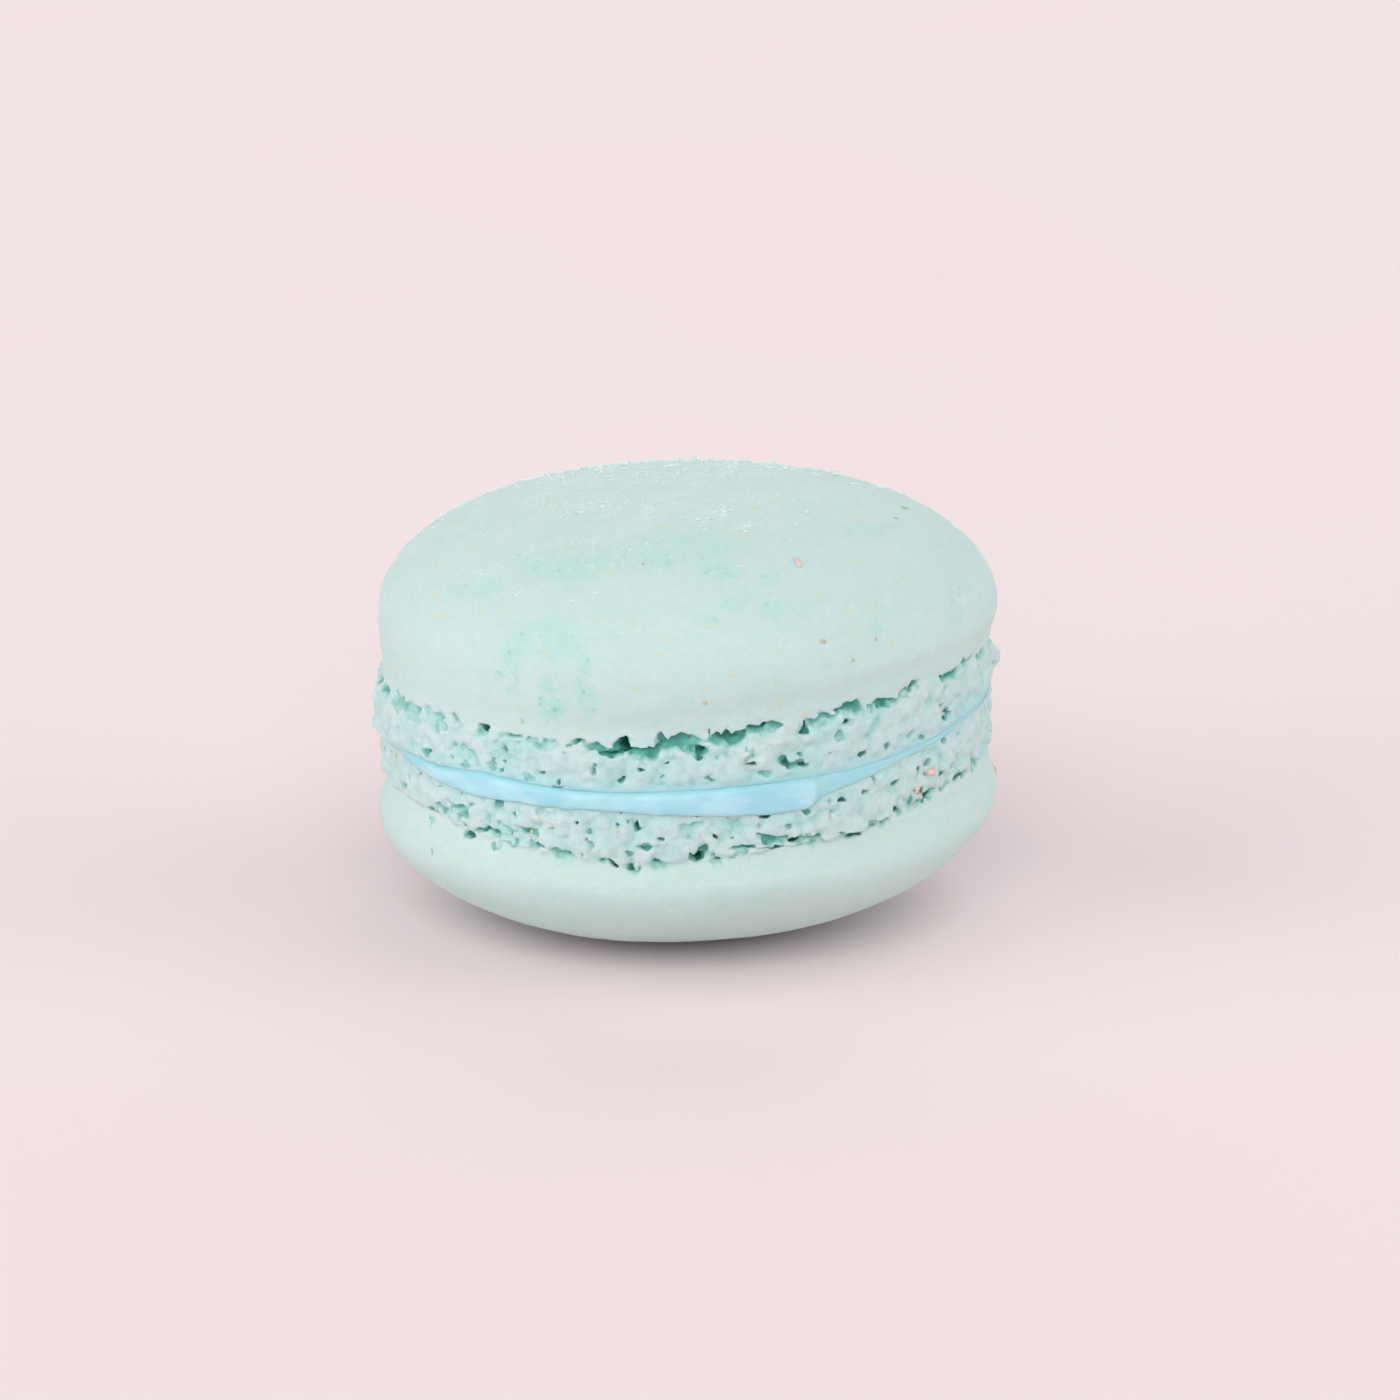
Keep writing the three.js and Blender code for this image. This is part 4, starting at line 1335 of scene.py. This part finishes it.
def build_crumbs(name, marks, hosts, material, thickness, seed):
    """Flattened crumbs where the marks show, each on the surface that its pixel meets first."""
    rng = np.random.default_rng(seed)
    base, base_faces = ball()
    points, faces = [], []
    for x, y, width, tall in marks:
        hits = [cast(host, [(x, y)]) for host in hosts]
        hits = [(places[0], normals[0]) for places, normals in hits if len(places)]
        hits = hits or [nearest_rim(hosts, (x, y))]
        place, normal = min(hits, key=lambda hit: np.linalg.norm(hit[0] - EYE))
        across = np.cross(normal, UPWARD)
        across = -across / np.linalg.norm(across)
        along = np.cross(across, normal)
        squeeze = max(abs(along @ UPWARD), CRUMB_SQUEEZE)
        half = np.array([width, tall / squeeze]) * PIXEL / 2
        lump, lump_size = CRUMB_LUMPS
        uneven = noise(base + rng.uniform(0, CRUMB_VARIETY, 3), lump_size, seed)
        lumpy = base * (1 + lump * uneven[:, None])
        high = thickness * half.min()
        shape = lumpy @ np.stack([across * half[0], along * half[1], normal * high])
        faces += [[corner + len(base) * len(points) for corner in face] for face in base_faces]
        points.append(shape + place + CRUMB_LIFT * high * normal)
    piece = make_piece(name, np.concatenate(points), faces, material)
    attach(piece, "root")
    return piece


# ---------------------------------------------------------------- material helpers


def add_node(tree, kind, inputs=None, **settings):
    """A shader node with its settings made and its inputs set or linked."""
    made = tree.nodes.new("ShaderNode" + kind)
    for name, value in settings.items():
        setattr(made, name, value)
    for name, value in (inputs or {}).items():
        if isinstance(value, bpy.types.NodeSocket):
            tree.links.new(value, made.inputs[name])
        else:
            made.inputs[name].default_value = value
    return made


def new_material(name, roughness, specular):
    """A material, its node tree and its shader, with the two finish values set on the shader."""
    material = bpy.data.materials.new(name)
    material.use_nodes = True
    tree = material.node_tree
    shader = tree.nodes["Principled BSDF"]
    shader.inputs["Roughness"].default_value = roughness
    shader.inputs["Specular IOR Level"].default_value = specular
    return material, tree, shader


def set_colour(tree, shader, colour):
    """Links a colour to a shader."""
    tree.links.new(colour, shader.inputs["Base Color"])


def set_glow(shader, weight, colour, reach):
    """Light that goes into the surface and comes out again, up to about reach mm away."""
    shader.inputs["Subsurface Weight"].default_value = weight
    shader.inputs["Subsurface Radius"].default_value = colour
    shader.inputs["Subsurface Scale"].default_value = reach * METRES


def set_relief(tree, shader, height, strength, distance):
    """Fine relief from a height, up to distance mm high."""
    inputs = {"Height": height, "Strength": strength, "Distance": distance * METRES}
    tree.links.new(add_node(tree, "Bump", inputs).outputs["Normal"], shader.inputs["Normal"])


def millimetres(tree, stretch=(1, 1, 1)):
    """The object's own coordinates in millimetres."""
    coordinates = add_node(tree, "TexCoord")
    scale = [part / METRES for part in stretch]
    mapping = add_node(tree, "Mapping", {"Vector": coordinates.outputs["Object"], "Scale": scale})
    return mapping.outputs["Vector"]


def cloud(tree, vector, size, detail, rough):
    """Soft noise with bumps about size apart."""
    inputs = {"Vector": vector, "Scale": 1 / size, "Detail": detail, "Roughness": rough}
    return add_node(tree, "TexNoise", inputs).outputs["Fac"]


def ramp(tree, value, low, high, top=1.0):
    """0 where the value is below low, top where it is above high, smooth between."""
    inputs = {"Value": value, "From Min": low, "From Max": high, "To Min": 0.0, "To Max": top}
    return add_node(tree, "MapRange", inputs, interpolation_type="SMOOTHSTEP").outputs["Result"]


def clouds(tree, vector, values):
    """Separate clouds: soft noise that counts only between two of its values."""
    size, detail, rough, low, high, top = values
    return ramp(tree, cloud(tree, vector, size, detail, rough), low, high, top)


def times(tree, first, second):
    """Product of two values."""
    return add_node(tree, "Math", {0: first, 1: second}, operation="MULTIPLY").outputs[0]


def plus(tree, first, second):
    """Sum of two values."""
    return add_node(tree, "Math", {0: first, 1: second}, operation="ADD").outputs[0]


def blend(tree, share, first, second):
    """A colour between two, each a colour or a socket."""
    first, second = ((*part, 1) if isinstance(part, tuple) else part for part in (first, second))
    node = add_node(tree, "Mix", {0: share, 6: first, 7: second}, data_type="RGBA")
    return node.outputs[2]


def stored(tree, name):
    """A value that keep_values stored on the piece."""
    return add_node(tree, "Attribute", attribute_name=name).outputs["Fac"]


# ---------------------------------------------------------------- materials


def shell_material():
    """Pale mint meringue: mottled skin with almond flecks, and teal inside its holes.

    Painted shade darkens the creases, and the holes towards dark green with depth.
    """
    material, tree, shader = new_material("almond_shell", *SHELL_FINISH)
    place = millimetres(tree)
    stretched = {high: millimetres(tree, (1, 1, high)) for high in (1.7, 3)}
    banded, streaked = stretched[1.7], stretched[3]
    foot, hollow = stored(tree, "foot"), stored(tree, "hollow")

    patches = times(tree, *(clouds(tree, banded, values) for values in SKIN_PATCHES))
    colour = blend(tree, patches, SKIN, SKIN_TEAL)
    for high, values, over in SKIN_CLOUDS:
        colour = blend(tree, clouds(tree, stretched[high], values), colour, over)
    scuff = times(tree, stored(tree, "scuff"), clouds(tree, banded, SCUFF_CLOUD))
    colour = blend(tree, scuff, colour, SCUFFED)
    pores = add_node(tree, "TexVoronoi", {"Vector": place, "Scale": 1 / PORE_SIZE}).outputs["Distance"]
    pores = times(tree, scuff, ramp(tree, pores, *PORE_REACH))
    # Pores: teal inside, partly painted shade in the pits.
    colour = blend(tree, pores, colour, PORE_TEAL_AND_SHADE)
    powder = times(tree, stored(tree, "powder"), clouds(tree, place, POWDER_CLOUD))
    colour = blend(tree, powder, colour, POWDER)
    meal = times(tree, stored(tree, "meal"), clouds(tree, streaked, MEAL_CLOUD))
    colour = blend(tree, meal, colour, ALMOND)
    colour = blend(tree, almond_flecks(tree), colour, ALMOND)

    on_foot = blend(tree, clouds(tree, place, COOL_CLOUD), FOOT, FOOT_COOL)
    on_foot = blend(tree, clouds(tree, place, WARM_CLOUD), on_foot, FOOT_WARM)
    colour = blend(tree, foot, colour, on_foot)
    uneven = plus(tree, hollow, clouds(tree, place, HOLLOW_CLOUD))
    # Painted shade in the creases: darker teal the deeper the foot is creased.
    for low, high, top, over in CREASE_SHADE_COLOURS:
        colour = blend(tree, ramp(tree, uneven, low, high, top), colour, over)
    stain = times(tree, stored(tree, "stain"), clouds(tree, place, STAIN_CLOUD))
    colour = blend(tree, stain, colour, STAINED)
    # The holes' teal inside, and painted shade darkening them with depth.
    for low, high, top, over in HOLE_TEAL_AND_SHADE_COLOURS:
        colour = blend(tree, ramp(tree, uneven, low, high, top), colour, over)
    set_colour(tree, shader, colour)
    set_glow(shader, *SHELL_GLOW)

    grain = plus(tree, *(cloud(tree, place, *values) for values in SHELL_GRAINS))
    grain = plus(tree, grain, times(tree, pores, -1.0))
    crumbly = times(tree, foot, cloud(tree, place, *FOOT_CRUMBLE))
    grain = plus(tree, grain, times(tree, crumbly, CRUMBLE_SHARE))
    set_relief(tree, shader, grain, *SHELL_RELIEF)
    return material


def almond_flecks(tree):
    """Small, faint, flattened flecks, scattered one to a cell in about a third of the cells."""
    place = millimetres(tree, (1, 1, FLECK_FLATNESS))
    inputs = {"Vector": place, "Scale": WANDER_CELLS, "Detail": WANDER_DETAIL}
    wander = add_node(tree, "TexNoise", inputs).outputs["Color"]
    for operation, value in (("SUBTRACT", 0.5), ("MULTIPLY", FLECK_WANDER)):
        wander = add_node(tree, "VectorMath", {0: wander, 1: (value,) * 3}, operation=operation).outputs[0]
    moved = add_node(tree, "VectorMath", {0: place, 1: wander}, operation="ADD").outputs[0]
    cells = add_node(tree, "TexVoronoi", {"Vector": moved, "Scale": FLECK_CELLS, "Randomness": 1.0})
    limits = {"From Min": FLECK_REACH[0], "From Max": FLECK_REACH[1], "To Min": 0.0, "To Max": 1.0}
    near = add_node(tree, "MapRange", {"Value": cells.outputs["Distance"], **limits}).outputs["Result"]
    split = add_node(tree, "SeparateColor", {"Color": cells.outputs["Color"]})
    chosen = ramp(tree, split.outputs[0], *FLECKS_SHOW)
    return times(tree, near, chosen)


def filling_material():
    """Satin blue cream, a little streaked along its length, with painted shade at its rims and off the
    bead.
    """
    material, tree, shader = new_material("cream_filling", *CREAM_FINISH)
    along = millimetres(tree, CREAM_STRETCH)
    colour = blend(tree, clouds(tree, along, CREAM_CLOUD), CREAM, CREAM_DEEP)
    spots = clouds(tree, millimetres(tree, SPOT_STRETCH), SPOT_CLOUD)
    colour = blend(tree, spots, colour, CREAM_SPOT)
    # Painted shade at the cream's rims and over its thin, set-back ends.
    painted_cream_shade = times(tree, stored(tree, "painted_cream_shade"), clouds(tree, along, CREAM_SHADE_CLOUD))
    colour = blend(tree, painted_cream_shade, colour, CREAM_SHADE)
    set_colour(tree, shader, colour)
    set_glow(shader, *CREAM_GLOW)
    set_relief(tree, shader, cloud(tree, along, *CREAM_GRAIN), *CREAM_RELIEF)
    return material


def sugar_material():
    """Frosty sugar that takes on the mint of the shell, with some clear, glinting grains."""
    material, tree, shader = new_material("sugar", *SUGAR_FINISH)
    # Paleness of the grains: partly frost, partly painted light against the shade heaped grains cast on
    # each other.
    frost_and_painted_light = plus(tree, stored(tree, "bright"), clouds(tree, millimetres(tree), FROST_CLOUD))
    clear = stored(tree, "clear")
    colour = blend(tree, frost_and_painted_light, SUGAR_MINT, SUGAR_WHITE)
    set_colour(tree, shader, blend(tree, clear, colour, SUGAR_GLINT))
    tree.links.new(ramp(tree, clear, *SUGAR_ROUGHNESS), shader.inputs["Roughness"])
    return material


def mottled_material(name, finish, values, light, dark):
    """A dry surface, mottled between two colours."""
    material, tree, shader = new_material(name, *finish)
    set_colour(tree, shader, blend(tree, clouds(tree, millimetres(tree), values), light, dark))
    return material


# ---------------------------------------------------------------- stage


def build_stage():
    """A wide, pale floor at the height the macaron stands on."""
    bpy.ops.mesh.primitive_plane_add(size=FLOOR_SIZE)
    floor = bpy.context.object
    floor.name = "floor"
    material = mottled_material("pale_floor", FLOOR_FINISH, FLOOR_CLOUD, FLOOR_PALE, FLOOR_PINK)
    floor.data.materials.append(material)


def build_lights():
    """Soft studio light from all sides, and a faint world."""
    for name, azimuth, elevation, strength, width in LIGHTS:
        light = bpy.data.lights.new(name, "SUN")
        light.energy = strength
        light.angle = math.radians(width)
        lamp = bpy.data.objects.new(name, light)
        bpy.context.scene.collection.objects.link(lamp)
        lamp.rotation_euler = (math.radians(90 - elevation), 0, math.radians(-azimuth))
    world = bpy.data.worlds.new("studio")
    world.use_nodes = True
    background = world.node_tree.nodes["Background"]
    background.inputs["Color"].default_value = WORLD
    background.inputs["Strength"].default_value = WORLD_STRENGTH
    bpy.context.scene.world = world


def build_camera():
    """The camera at the picture's viewing angle."""
    camera = bpy.data.cameras.new("camera")
    camera.lens = LENS
    camera.sensor_width = SENSOR
    camera.clip_start, camera.clip_end = CLIP
    holder = bpy.data.objects.new("camera", camera)
    bpy.context.scene.collection.objects.link(holder)
    holder.location = Vector(EYE * METRES)
    holder.rotation_euler = Vector(FORWARD).to_track_quat("-Z", "Y").to_euler()
    bpy.context.scene.camera = holder


def main():
    """Builds every piece, then the stage, the lights and the camera."""
    shell_look = shell_material()
    filling_top, filling_bottom = filling_edges()
    upper_marks, lower_marks = (UPPER_HOLES, UPPER_TROUGHS), (LOWER_HOLES, LOWER_TROUGHS)
    upper = build_shell(UPPER, upper_marks, UPPER_LIP_EDGE, filling_top, shell_look)
    lower = build_shell(LOWER, lower_marks, LOWER_LIP_EDGE, filling_bottom, shell_look)
    build_filling(filling_material())
    bpy.context.view_layer.update()
    build_sugar(upper, sugar_material())
    for name, material_name, light, dark, thickness, seed, marks in CRUMBS:
        look = mottled_material(material_name, CRUMB_FINISH, CRUMB_CLOUD, light, dark)
        build_crumbs(name, marks, (upper, lower), look, thickness, seed)
    build_stage()
    build_lights()
    build_camera()
    bpy.context.scene.view_settings.view_transform = "Standard"


main()
